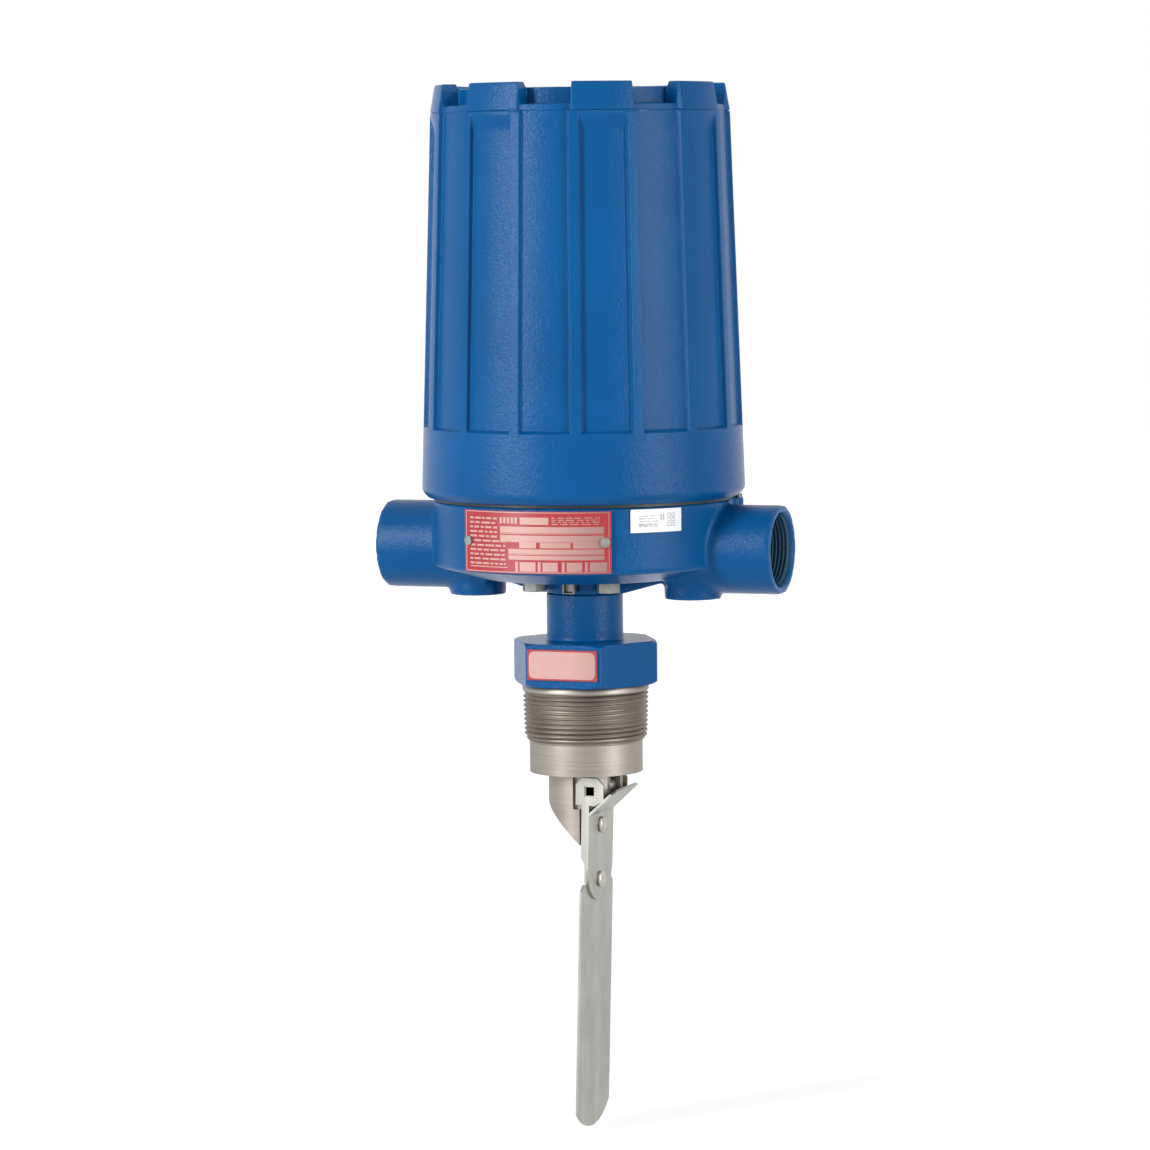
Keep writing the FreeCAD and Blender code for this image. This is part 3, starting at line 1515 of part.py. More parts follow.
for item in doc.Objects:
    if "Invalid" in item.State or "Error" in item.State:
        raise RuntimeError(f"{item.Name} ({item.Label}) did not build: {item.State}")
for part in SUB_PARTS:
    shape = part.Shape
    if shape.isNull() or not shape.isValid() or shape.Volume <= 0:
        raise RuntimeError(f"{part.Label} has no sound shape")
    shape.exportStep(f"parts/{part.Label}.step")
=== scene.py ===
import json
import math
import random

import bmesh
import bpy
from mathutils import Matrix, Quaternion, Vector

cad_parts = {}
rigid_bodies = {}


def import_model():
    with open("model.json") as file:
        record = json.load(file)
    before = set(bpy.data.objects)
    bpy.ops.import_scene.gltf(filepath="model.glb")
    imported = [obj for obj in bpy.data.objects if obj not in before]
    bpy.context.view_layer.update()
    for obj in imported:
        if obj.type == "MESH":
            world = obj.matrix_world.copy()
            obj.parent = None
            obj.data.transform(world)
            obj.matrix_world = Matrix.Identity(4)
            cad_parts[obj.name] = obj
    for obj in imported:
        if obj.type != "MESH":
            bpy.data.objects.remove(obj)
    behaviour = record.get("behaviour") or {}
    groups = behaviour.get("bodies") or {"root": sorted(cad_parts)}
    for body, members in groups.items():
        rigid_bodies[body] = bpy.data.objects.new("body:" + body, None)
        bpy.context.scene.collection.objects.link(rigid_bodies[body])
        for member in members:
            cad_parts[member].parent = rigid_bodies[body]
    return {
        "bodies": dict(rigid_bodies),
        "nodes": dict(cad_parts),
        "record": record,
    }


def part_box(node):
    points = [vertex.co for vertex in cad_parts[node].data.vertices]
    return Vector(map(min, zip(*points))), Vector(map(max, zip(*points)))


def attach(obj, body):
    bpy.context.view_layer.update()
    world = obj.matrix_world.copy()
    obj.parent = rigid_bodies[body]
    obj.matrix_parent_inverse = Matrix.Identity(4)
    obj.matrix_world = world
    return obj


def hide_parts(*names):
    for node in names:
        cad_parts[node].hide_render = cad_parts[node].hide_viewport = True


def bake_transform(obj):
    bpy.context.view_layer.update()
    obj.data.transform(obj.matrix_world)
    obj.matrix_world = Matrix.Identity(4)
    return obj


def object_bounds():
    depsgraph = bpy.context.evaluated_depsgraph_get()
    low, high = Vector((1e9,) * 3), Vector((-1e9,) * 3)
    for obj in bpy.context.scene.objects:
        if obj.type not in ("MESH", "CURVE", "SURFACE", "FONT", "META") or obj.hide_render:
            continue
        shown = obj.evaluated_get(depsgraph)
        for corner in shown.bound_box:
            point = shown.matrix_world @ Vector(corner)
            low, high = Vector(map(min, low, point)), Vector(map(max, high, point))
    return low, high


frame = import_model()
CAD_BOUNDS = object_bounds()
NODES = frame["nodes"]
SLOT_OF = {entry["node"]: entry["material_slot"] for entry in frame["record"]["subparts"]}
MM = 0.001
PIVOT_X, PIVOT_Z = 0.0078, -0.0504
random.seed(7)


# ------------------------------------------------------------------ material helpers

def srgb(code):
    """Linear RGBA from a hex colour."""
    channels = [int(code[i:i + 2], 16) / 255 for i in (0, 2, 4)]
    linear = [c / 12.92 if c <= 0.04045 else ((c + 0.055) / 1.055) ** 2.4 for c in channels]
    return (*linear, 1.0)


class Tree:
    """Short names for building one material's nodes."""

    def __init__(self, name, slot):
        self.material = bpy.data.materials.new(name)
        self.material.use_nodes = True
        self.slot = slot
        self.nodes = self.material.node_tree.nodes
        self.links = self.material.node_tree.links
        self.nodes.clear()
        self.output = self.nodes.new("ShaderNodeOutputMaterial")
        self.place = self.nodes.new("ShaderNodeTexCoord").outputs["Object"]

    def put(self, socket, value):
        if isinstance(value, bpy.types.NodeSocket):
            self.links.new(value, socket)
        elif value is not None:
            socket.default_value = value

    def math(self, operation, a, b=None, c=None):
        node = self.nodes.new("ShaderNodeMath")
        node.operation = operation
        for socket, value in zip(node.inputs, (a, b, c)):
            self.put(socket, value)
        return node.outputs[0]

    def axes(self):
        node = self.nodes.new("ShaderNodeSeparateXYZ")
        self.put(node.inputs[0], self.place)
        return node.outputs

    def scaled(self, scale):
        node = self.nodes.new("ShaderNodeMapping")
        self.put(node.inputs["Vector"], self.place)
        node.inputs["Scale"].default_value = scale
        return node.outputs[0]

    def noise(self, scale, detail=3.0, rough=0.5, vector=None):
        node = self.nodes.new("ShaderNodeTexNoise")
        self.put(node.inputs["Vector"], vector or self.place)
        node.inputs["Scale"].default_value = scale
        node.inputs["Detail"].default_value = detail
        node.inputs["Roughness"].default_value = rough
        return node.outputs["Fac"]

    def range(self, value, low, high, to_low=0.0, to_high=1.0):
        node = self.nodes.new("ShaderNodeMapRange")
        self.put(node.inputs["Value"], value)
        ends = {"From Min": low, "From Max": high, "To Min": to_low, "To Max": to_high}
        for name, amount in ends.items():
            node.inputs[name].default_value = amount
        return node.outputs[0]

    def mix(self, factor, a, b):
        node = self.nodes.new("ShaderNodeMix")
        node.data_type = "RGBA"
        self.put(node.inputs["Factor"], factor)
        self.put(node.inputs["A"], a)
        self.put(node.inputs["B"], b)
        return node.outputs["Result"]

    def bump(self, height, strength, distance, normal=None):
        node = self.nodes.new("ShaderNodeBump")
        node.inputs["Strength"].default_value = strength
        node.inputs["Distance"].default_value = distance
        self.put(node.inputs["Height"], height)
        if normal is not None:
            self.put(node.inputs["Normal"], normal)
        return node.outputs[0]

    def principled(self, color, rough, metallic=0.0, normal=None, **extra):
        node = self.nodes.new("ShaderNodeBsdfPrincipled")
        self.put(node.inputs["Base Color"], color)
        self.put(node.inputs["Roughness"], rough)
        node.inputs["Metallic"].default_value = metallic
        if normal is not None:
            self.put(node.inputs["Normal"], normal)
        for name, value in extra.items():
            self.put(node.inputs[name.replace("_", " ")], value)
        return node.outputs[0]

    def shader_mix(self, factor, a, b):
        node = self.nodes.new("ShaderNodeMixShader")
        self.put(node.inputs[0], factor)
        self.links.new(a, node.inputs[1])
        self.links.new(b, node.inputs[2])
        return node.outputs[0]

    def finish(self, shader):
        self.links.new(shader, self.output.inputs["Surface"])
        self.material["slot"] = self.slot
        return self.material


def paint_shader(tree):
    """Blue enamel over cast metal: cast grain, orange peel, cloudy tone, and a painted highlight that
    lightens sharp edges.
    """
    cloud = tree.noise(16.0, 2.0)
    grain = tree.noise(700.0, 4.0, 0.65)
    pits = tree.noise(1500.0, 2.0, 0.6)
    color = tree.mix(tree.range(cloud, 0.35, 0.7), srgb("00497E"), srgb("004F87"))
    color = tree.mix(tree.range(grain, 0.58, 0.78, 0.0, 0.3), color, srgb("0E5C92"))
    # Painted highlight: sharp edges, picked out by pointiness and broken up by the grain, turn a lighter
    # blue.
    edge = tree.nodes.new("ShaderNodeNewGeometry").outputs["Pointiness"]
    edge_highlight = tree.math("MULTIPLY", tree.range(edge, 0.52, 0.6), tree.range(grain, 0.35, 0.65, 0.15, 0.7))
    color = tree.mix(edge_highlight, color, srgb("3A78A6"))
    rough = tree.range(grain, 0.3, 0.7, 0.17, 0.28)
    normal = tree.bump(grain, 0.35, 0.0008)
    normal = tree.bump(pits, 0.15, 0.0003, normal)
    return tree.principled(color, rough, 0.0, normal, Specular_IOR_Level=0.13)


def steel_shader(tree, light, dark, rough_low, rough_high, brush):
    """Machined metal: fine tool marks stretched along brush, and uneven tone."""
    marks = tree.noise(1.0, 4.0, 0.6, tree.scaled(brush))
    cloud = tree.noise(60.0, 3.0)
    tone = tree.math("ADD", tree.math("MULTIPLY", marks, 0.6), tree.math("MULTIPLY", cloud, 0.4))
    color = tree.mix(tree.range(tone, 0.3, 0.7), srgb(dark), srgb(light))
    rough = tree.range(marks, 0.25, 0.75, rough_low, rough_high)
    normal = tree.bump(marks, 0.12, 0.0002)
    return tree.principled(color, rough, 1.0, normal)


def make_paint():
    tree = Tree("blue_enamel", "blue_paint")
    return tree.finish(paint_shader(tree))


def make_bushing():
    """Blue above the thread, bare steel below, with a slightly uneven edge to the paint."""
    tree = Tree("bushing_finish", "stainless")
    edge = tree.math("MULTIPLY_ADD", tree.noise(240.0, 2.0), 0.0006, -0.0006)
    painted = tree.math("GREATER_THAN", tree.axes()[2], edge)
    steel = steel_shader(tree, "A59F97", "88827A", 0.42, 0.58, (30, 30, 3000))
    return tree.finish(tree.shader_mix(painted, steel, paint_shader(tree)))


def make_steel(name, slot, light="CFCBC4", dark="9A9790", rough=(0.25, 0.42), brush=(40, 40, 2500)):
    tree = Tree(name, slot)
    return tree.finish(steel_shader(tree, light, dark, *rough, brush))


def make_plain(name, slot, color, second, rough=(0.4, 0.55), scale=500.0, metallic=0.0):
    """Moulded, printed or cast stuff with a fine grain."""
    tree = Tree(name, slot)
    grain = tree.noise(scale, 3.0)
    shade = tree.mix(tree.range(grain, 0.35, 0.65), srgb(color), srgb(second))
    normal = tree.bump(grain, 0.15, 0.0002)
    return tree.finish(tree.principled(shade, tree.range(grain, 0.3, 0.7, *rough), metallic, normal))


def make_socketed():
    """Turned shaft with painted shade, a near-black square 4 mm across on each end, in place of the dark
    inside of a square socket.
    """
    tree = Tree("socketed_shaft", "stainless")
    x, _, z = tree.axes()
    across = tree.math("ABSOLUTE", tree.math("SUBTRACT", x, PIVOT_X))
    along = tree.math("ABSOLUTE", tree.math("SUBTRACT", z, PIVOT_Z))
    # Painted shade: inside this square the shaft's colour turns near-black, standing in for shadow in a
    # socket.
    inside = tree.range(tree.math("MAXIMUM", across, along), 0.00203, 0.0021, 1.0, 0.0)
    grain = tree.noise(300.0, 3.0)
    steel = tree.mix(grain, srgb("A09C95"), srgb("B8B2A9"))
    shade = tree.mix(inside, steel, srgb("0C0E10"))
    return tree.finish(tree.principled(shade, 0.4, 1.0, tree.bump(grain, 0.1, 0.0002)))


def make_pale_print():
    """Bare fields of the nameplate, with painted shade that darkens them towards the downstream end."""
    tree = Tree("print_pale", "red_plate")
    # Painted shade: the pale fields blend into a much darker tone towards the downstream end of the plate.
    side = tree.range(tree.axes()[0], 0.004, 0.034)
    grain = tree.noise(900.0, 3.0)
    near = tree.mix(grain, srgb("C79C95"), srgb("BA8E87"))
    shaded_far_tone = tree.mix(grain, srgb("97736D"), srgb("8B6862"))
    normal = tree.bump(grain, 0.1, 0.0002)
    return tree.finish(tree.principled(tree.mix(side, near, shaded_far_tone), 0.4, 0.0, normal))


MATERIALS = {
    "blue_paint": make_paint(),
    "bushing": make_bushing(),
    "thread": make_steel("thread_steel", "stainless", "8F887D", "665F56", (0.42, 0.58), (60, 60, 3000)),
    # Darker copy of the blue enamel: painted shade for the inside of the conduit bore.
    "bore": make_plain("bore_enamel_in_shade", "blue_paint", "123F58", "1B4E66", (0.35, 0.5)),
    "socketed": make_socketed(),
    "stainless": make_steel("turned_steel", "stainless"),
    "stainless_sheet": make_steel("rolled_sheet", "stainless_sheet", "B7B6B0", "94958F", (0.34, 0.48),
                                  (160, 160, 6)),
    "zinc_steel": make_steel("zinc_plate", "zinc_steel", "A3A5A1", "757770", (0.5, 0.62),
                             (400, 400, 400)),
    "dark_steel": make_steel("blackened_steel_and_socket_shade", "dark_steel", "7C8084", "4C5054", (0.35, 0.5),
                             (300, 300, 300)),
    "red_plate": make_plain("red_print", "red_plate", "981F2A", "A22A34", (0.3, 0.45), 900.0),
    "print_pale": make_pale_print(),
    "print_pink": make_plain("print_pink", "red_plate", "A94E56", "9E444C", (0.3, 0.45), 900.0),
    "print_dark": make_plain("print_dark", "red_plate", "8C2C34", "7E3437", (0.3, 0.45), 900.0),
    "tag_metal": make_plain("tag_white", "tag_metal", "E9E9EB", "DCDDE0", (0.25, 0.4), 700.0),
    "tag_print": make_plain("tag_print", "tag_metal", "A8A49F", "938F8B", (0.3, 0.45), 900.0),
    "gasket_rubber": make_plain("gasket_rubber", "gasket_rubber", "12201F", "1B2B28"),
    "spring_steel": make_steel("spring_wire", "spring_steel", "BDBEC0", "85888C"),
    "bronze": make_steel("bronze", "bronze", "C79A5A", "94703C"),
    "magnet": make_plain("magnet_alloy", "magnet", "4A4C50", "36383C", (0.4, 0.6), 700.0, 0.8),
    "sleeve_steel": make_steel("sleeve_steel", "sleeve_steel", "A0A2A5", "707378"),
    "phenolic": make_plain("phenolic", "phenolic", "1B1B1D", "26262A"),
    "brass_tab": make_steel("brass_tab", "brass_tab", "D2B060", "A38440"),
    "lead_insulation": make_plain("lead_insulation", "lead_insulation", "202226", "2A2C31"),
    "plunger_plastic": make_plain("plunger_plastic", "plunger_plastic", "B03028", "9C2A24"),
}


def dress(item, *names):
    item.data.materials.clear()
    for name in names:
        item.data.materials.append(MATERIALS[name])


for name, node in NODES.items():
    dress(node, SLOT_OF[name])
dress(NODES["pivot_shaft"], "socketed")


# ------------------------------------------------------------------ mesh helpers

def body_name(node):
    return next(name for name, empty in frame["bodies"].items() if NODES[node].parent == empty)


def piece(name, mesh, node, materials, replace=True, bends=False):
    """Link a mesh that rides with a CAD node's body, unless it bends, and stands for the node if asked."""
    item = bpy.data.objects.new(name, mesh)
    bpy.context.scene.collection.objects.link(item)
    dress(item, *materials)
    mesh.polygons.foreach_set("use_smooth", [True] * len(mesh.polygons))
    if not bends:
        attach(item, body_name(node))
    if replace:
        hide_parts(node)
    return item


def weigh(item):
    """Flat faces keep flat shading beside narrow rounded edges."""
    item.modifiers.new("weigh", "WEIGHTED_NORMAL")
    return item


def clean_copy(node):
    """The node's own shape with its seams welded and its flat faces whole."""
    shape = bmesh.new()
    shape.from_mesh(NODES[node].data)
    bmesh.ops.remove_doubles(shape, verts=shape.verts, dist=2e-6)
    bmesh.ops.dissolve_limit(shape, angle_limit=math.radians(0.6), verts=shape.verts, edges=shape.edges)
    return shape


def to_mesh(name, shape):
    mesh = bpy.data.meshes.new(name)
    shape.to_mesh(mesh)
    shape.free()
    return mesh


def round_edges(item, width, angle=34.0, miter="MITER_SHARP"):
    """Round the edges that turn by more than an angle."""
    bevel = item.modifiers.new("round", "BEVEL")
    bevel.width = width * MM
    bevel.segments = 2
    bevel.limit_method = "ANGLE"
    bevel.angle_limit = math.radians(angle)
    bevel.miter_outer = miter
    return weigh(item)


def soften(node, width):
    """Stand in for a node with its edges rounded off."""
    mesh = to_mesh(node + "_shape", clean_copy(node))
    return round_edges(piece(node + "_shape", mesh, node, [SLOT_OF[node]]), width, miter="MITER_ARC")


def cut_above(node, level):
    """A node's own shape up to a level, with every opening of the cut closed."""
    shape = clean_copy(node)
    cut = bmesh.ops.bisect_plane(shape, geom=shape.verts[:] + shape.edges[:] + shape.faces[:],
                                 plane_co=(0, 0, level * MM), plane_no=(0, 0, 1), clear_outer=True)
    rim = [g for g in cut["geom_cut"] if isinstance(g, bmesh.types.BMEdge)]
    bmesh.ops.holes_fill(shape, edges=rim)
    return shape


def smooth(share):
    share = min(max(share, 0.0), 1.0)
    return share * share * (3.0 - 2.0 * share)


def corner_arcs(outline, steps=4):
    """A closed outline of (radius, level, fillet) with its corners rounded, as (radius, level)."""
    points = []
    count = len(outline)
    for index, (x, z, fillet) in enumerate(outline):
        here = Vector((x, z))
        before = Vector(outline[index - 1][:2]) - here
        after = Vector(outline[(index + 1) % count][:2]) - here
        if fillet <= 0:
            points.append((x, z))
            continue
        fillet = min(fillet, before.length * 0.45, after.length * 0.45)
        start, end = here + before.normalized() * fillet, here + after.normalized() * fillet
        for step in range(steps + 1):
            t = step / steps
            point = start * (1 - t) ** 2 + here * 2 * t * (1 - t) + end * t ** 2
            points.append((point.x, point.y))
    return points


def polar(shape, radius, turn, level):
    """A corner at a radius, an angle from the front and a level, in mm."""
    return shape.verts.new((radius * math.sin(turn) * MM, -radius * math.cos(turn) * MM, level * MM))


def around(name, rows, angles):
    """Closed surface through rows, each a function from an angle to (radius, level) in mm."""
    shape = bmesh.new()
    rings = []
    for row in rows:
        ring = []
        for angle in angles:
            radius, level = row(angle)
            ring.append(polar(shape, radius, math.radians(angle), level))
        rings.append(ring)
    count = len(angles)
    for index, ring in enumerate(rings):
        above = rings[(index + 1) % len(rings)]
        for j in range(count):
            k = (j + 1) % count
            shape.faces.new((ring[j], ring[k], above[k], above[j]))
    bmesh.ops.remove_doubles(shape, verts=shape.verts, dist=1e-7)
    bmesh.ops.recalc_face_normals(shape, faces=shape.faces)
    return to_mesh(name, shape)


def lathe(name, outline, count):
    rows = [lambda angle, p=p: p for p in corner_arcs(outline)]
    return around(name, rows, [360 * i / count for i in range(count)])


def helix_strip(name, radius_at, section, pitch, low, high, steps):
    """A thread: section is a list of (share of pitch, height over radius_at) swept round the axis."""
    shape = bmesh.new()
    total = int((high - low) / pitch * steps) + steps
    rows = []
    for step in range(total + 1):
        turn = 2 * math.pi * step / steps
        row = []
        for share, height in section:
            level = low + pitch * (step / steps - 1 + share)
            level = min(max(level, low), high)
            fade = smooth((level - low) / pitch) * smooth((high - level) / pitch)
            row.append(polar(shape, radius_at(level) + height * fade, turn, level))
        rows.append(row)
    for first, second in zip(rows, rows[1:]):
        for j in range(len(section) - 1):
            shape.faces.new((first[j], first[j + 1], second[j + 1], second[j]))
    bmesh.ops.remove_doubles(shape, verts=shape.verts, dist=1e-7)
    bmesh.ops.recalc_face_normals(shape, faces=shape.faces)
    return to_mesh(name, shape)


def skin(shape, rings):
    """Faces from ring to ring, with both ends closed."""
    for first, second in zip(rings, rings[1:]):
        for k in range(len(first)):
            m = (k + 1) % len(first)
            shape.faces.new((first[k], first[m], second[m], second[k]))
    shape.faces.new(rings[0])
    shape.faces.new(list(reversed(rings[-1])))


def coil(name, radius, wire, length, turns, sections=10, steps=36):
    """A spring along +Z from 0 to length, its end turns closer than the rest."""
    shape = bmesh.new()
    rows = []
    total = int(turns * steps)
    for step in range(total + 1):
        share = step / total
        turn = 2 * math.pi * step / steps
        level = wire + (length - 2 * wire) * smooth_ends(share, 1.1 / turns)
        centre = Vector((radius * math.cos(turn), radius * math.sin(turn), level))
        out = Vector((math.cos(turn), math.sin(turn), 0))
        row = []
        for k in range(sections):
            angle = 2 * math.pi * k / sections
            point = centre + (out * math.cos(angle) + Vector((0, 0, 1)) * math.sin(angle)) * wire
            row.append(shape.verts.new(point * MM))
        rows.append(row)
    skin(shape, rows)
    bmesh.ops.recalc_face_normals(shape, faces=shape.faces)
    return to_mesh(name, shape)


def smooth_ends(share, flat):
    """Rises from 0 to 1, slowly over the first and last stretches."""
    rise = min(share, 1 - share)
    eased = rise - flat * 0.7 * smooth(rise / flat)
    eased *= 0.5 / (0.5 - flat * 0.7)
    return eased if share <= 0.5 else 1 - eased


# ------------------------------------------------------------------ cover

COVER_FOOT, COVER_BELLY, COVER_BAND, COVER_SHOULDER = 89.5, 92.5, 122.0, 271.0
COVER_TOP, CROWN_FLOOR, CAP = 284.0, 273.8, 281.6
COVER_RADIUS = 76.9
CROWN_FOOT = 270.8
NOTCH, SECTOR = 51.15, 22.5


def cover_wall(level):
    return COVER_RADIUS - 6.0 * (level - COVER_BELLY) / (COVER_SHOULDER - COVER_BELLY)


def off_centre(angle, first, pitch):
    """Signed angle from the nearest of a set of evenly spaced directions."""
    return (angle - first + pitch / 2) % pitch - pitch / 2


def notch_share(angle):
    return smooth((10.7 - abs(off_centre(angle, NOTCH, SECTOR * 2))) / 0.9)


def panel_share(angle):
    return smooth((9.55 - abs(off_centre(angle, NOTCH, SECTOR))) / 0.6)


def panel_depth(angle, level):
    fade = (1 - notch_share(angle)) * smooth((level - 261) / 10)
    return 2.2 * panel_share(angle) * smooth((level - COVER_BAND) / 2.0) * (1 - fade)


def cover_rows():
    foot = corner_arcs([(73.9, COVER_FOOT, 0.6), (COVER_RADIUS, COVER_BELLY, 2.0), (cover_wall(110), 110, 0),
                        (68.3, COVER_FOOT, 0)])[:-2]
    rows = [lambda angle, p=p: p for p in foot]
    levels = [100, 112, 119, 121.4, 121.8, 122.0, 122.3, 122.6, 122.9, 123.2, 123.5, 123.8, 124.1, 124.5]
    levels += [127, 133, 150, 170, 190, 210, 230, 248, 258, 261, 263, 265, 267, 269, 270.4]
    for level in levels:
        rows.append(lambda angle, z=level: (cover_wall(z) - panel_depth(angle, z), z))
    lug = corner_arcs([(70.9, CROWN_FOOT, 1.0), (68.6, COVER_TOP, 1.0), (61.8, COVER_TOP, 0.8),
                       (60.5, CAP, 0.5), (40, 275, 0)])[:-1]
    notch = corner_arcs([(68.7, CROWN_FOOT, 0.4), (68.3, CROWN_FLOOR, 0.7), (60.5, CROWN_FLOOR, 0.8),
                         (60.4, CAP, 0.5), (40, 275, 0)])[:-1]
    for high, low in zip(lug, notch):
        def row(angle, high=high, low=low):
            share = notch_share(angle)
            depth = panel_depth(angle, CROWN_FOOT) * (1 - share) if high[1] < 272 else 0
            return high[0] + (low[0] - high[0]) * share - depth, high[1] + (low[1] - high[1]) * share
        rows.append(row)
    inside = [(59, CAP), (45, CAP - 0.1), (30, CAP), (0, CAP), (0, 266), (30, 266), (59, 266), (62.5, 265),
              (64, 261.5), (64.6, 255), (67.2, 114), (67.4, 111.5)]
    pitch, level = 2.5, 110.0
    while level > COVER_BELLY:
        for share, depth in ((0.0, 0.0), (0.2, 0.0), (0.45, 0.9), (0.65, 0.9), (0.9, 0.0)):
            inside.append((68.3 + depth * smooth((110.5 - level) / 2), level - share * pitch))
        level -= pitch
    inside += [(68.3, 92), (68.8, COVER_FOOT)]
    rows += [lambda angle, p=p: p for p in inside]
    return rows


def cover_angles():
    """Close columns where a panel or a notch begins, wide ones between."""
    steps = [0, 3, 6, 8, 8.7, 8.95, 9.1, 9.25, 9.4, 9.55, 9.7, 9.85, 10.1, 10.3, 10.5, 10.75, 11.0]
    offsets = sorted({s for s in steps} | {-s for s in steps} | {11.25})
    return [NOTCH + SECTOR * k + offset for k in range(16) for offset in offsets]


def make_cover():
    mesh = around("cover_casting", cover_rows(), cover_angles())
    weigh(piece("cover_casting", mesh, "housing_cover", ["blue_paint"]))


# ------------------------------------------------------------------ base

def make_base():
    """The casting gets soft inner and outer corners from a fine remesh. The threaded spout and the
    conduit thread stay crisp pieces of their own."""
    shape = cut_above("housing_base", 88.4)
    bmesh.ops.triangulate(shape, faces=shape.faces)
    rough = bpy.data.objects.new("rough_base", to_mesh("rough_base", shape))
    bpy.context.scene.collection.objects.link(rough)
    remesh = rough.modifiers.new("cast", "REMESH")
    remesh.mode = "VOXEL"
    remesh.voxel_size = 1.15 * MM
    relax = rough.modifiers.new("relax", "SMOOTH")
    relax.factor = 0.5
    relax.iterations = 3
    bpy.context.view_layer.update()
    mesh = bpy.data.meshes.new_from_object(rough.evaluated_get(bpy.context.evaluated_depsgraph_get()))
    bpy.data.objects.remove(rough)
    mesh.name = "base_casting"
    piece("base_casting", mesh, "housing_base", ["blue_paint"])
    spout = [(62, 86, 0), (62, 106, 0.4), (67.3, 106, 0.5)]
    for turn in range(7):
        level = 105.0 - 2.5 * turn
        spout += [(67.2, level, 0), (68.0, level - 0.8, 0), (68.0, level - 1.3, 0), (67.2, level - 2.1, 0)]
    spout += [(67.2, 87.4, 0), (67.2, 86, 0)]
    weigh(piece("base_spout", lathe("base_spout", spout, 180), "housing_base", ["blue_paint"], False))
    tooth = [(0.0, 0.0), (0.42, -0.75), (0.58, -0.75), (1.0, 0.0)]
    mesh = helix_strip("conduit_thread", lambda z: 16.75, tooth, 1.8, 60.0, 97.6, 72)
    mesh.transform(Matrix.Translation((0, 0, 65.0 * MM)) @ Matrix.Rotation(math.radians(90), 4, "Y"))
    piece("conduit_thread", mesh, "housing_base", ["bore"], False)


# ------------------------------------------------------------------ process bushing

HEX_FLATS = 63.5


def hexagon_reach(angle):
    """Distance to the hexagon's side, with flats to the front and back and its corners just eased."""
    near = HEX_FLATS / 2 / math.cos(math.radians(off_centre(angle, 0.0, 60.0)))
    return min(near, HEX_FLATS / math.sqrt(3.0) - 0.5)


def make_bushing_body():
    """Hexagon with turned chamfers, neck and spigot."""
    high, chamfer_radius = 20.7, 34.0
    slope = math.tan(math.radians(32))

    def hex_row(level):
        turned = chamfer_radius + min(level, high - level) / slope
        return lambda angle: (min(hexagon_reach(angle), turned), level)

    rows = [lambda angle: (30.2, 0.0)]
    levels = [0.0, 0.3, 0.6, 1.0, 1.4, 1.8, 2.2, 2.6, 3.2, 4.5, 10.35]
    for level in levels + [high - l for l in reversed(levels[:-1])]:
        rows.append(hex_row(level))
    neck = [(19.6, high), (18.7, high + 0.3), (18.35, high + 0.9), (18.25, high + 1.8), (18.25, 42.4),
            (17.9, 43.0), (15, 43), (15, 66), (13.6, 66), (13.6, 57), (9, 57), (9, 12),
            (3, 12), (3, 0.2), (9, -26), (26, -26), (28.0, -3.0)]
    rows += [lambda angle, p=p: p for p in neck]
    half = [0, 4, 8, 12, 15, 17.5, 20, 22, 24, 25.5, 27, 28, 29, 29.6]
    offsets = [-30] + [-a for a in reversed(half[1:])] + half
    angles = [60 * k + offset for k in range(6) for offset in offsets]
    mesh = around("bushing_hexagon", rows, angles)
    weigh(piece("bushing_hexagon", mesh, "process_bushing", ["bushing"], False))


def make_bushing_boss():
    """Skirt and slotted boss below the thread, with broken edges. Closing the cut also closes the bore
    there, so the stem passes through a face."""
    mesh = to_mesh("bushing_boss", cut_above("process_bushing", -27.8))
    round_edges(piece("bushing_boss", mesh, "process_bushing", ["bushing"]), 0.35)
    collar = [(3.2, -27.9, 0), (27.0, -27.9, 0), (27.0, -27.2, 0.2), (26.6, -26.9, 0.2), (20, -26.4, 0),
              (3.2, -26.4, 0)]
    weigh(piece("bushing_skirt", lathe("bushing_skirt", collar, 120), "process_bushing", ["bushing"], False))


def make_taper_thread():
    """Cut taper thread with truncated crests between the plain land and the skirt."""
    def taper(level):
        return 30.16 + 0.03125 * level - 1.35

    section = [(0.0, 0.0), (0.08, 0.03), (0.42, 1.3), (0.5, 1.35), (0.58, 1.3), (0.92, 0.03), (1.0, 0.0)]
    mesh = helix_strip("taper_thread", taper, section, 2.21, -26.9, -3.0, 144)
    piece("taper_thread", mesh, "process_bushing", ["thread"], False)
    land = [(28.0, -3.9, 0), (29.4, -3.9, 0.3), (30.2, -3.2, 0.3), (30.2, -0.02, 0), (28.0, -0.02, 0)]
    weigh(piece("bushing_land", lathe("bushing_land", land, 144), "process_bushing", ["bushing"], False))
    core = [(20, -3.5, 0), (28.9, -3.5, 0), (28.2, -26.6, 0), (20, -26.6, 0)]
    piece("thread_core", lathe("thread_core", core, 144), "process_bushing", ["thread"], False)


# ------------------------------------------------------------------ plates with generic print

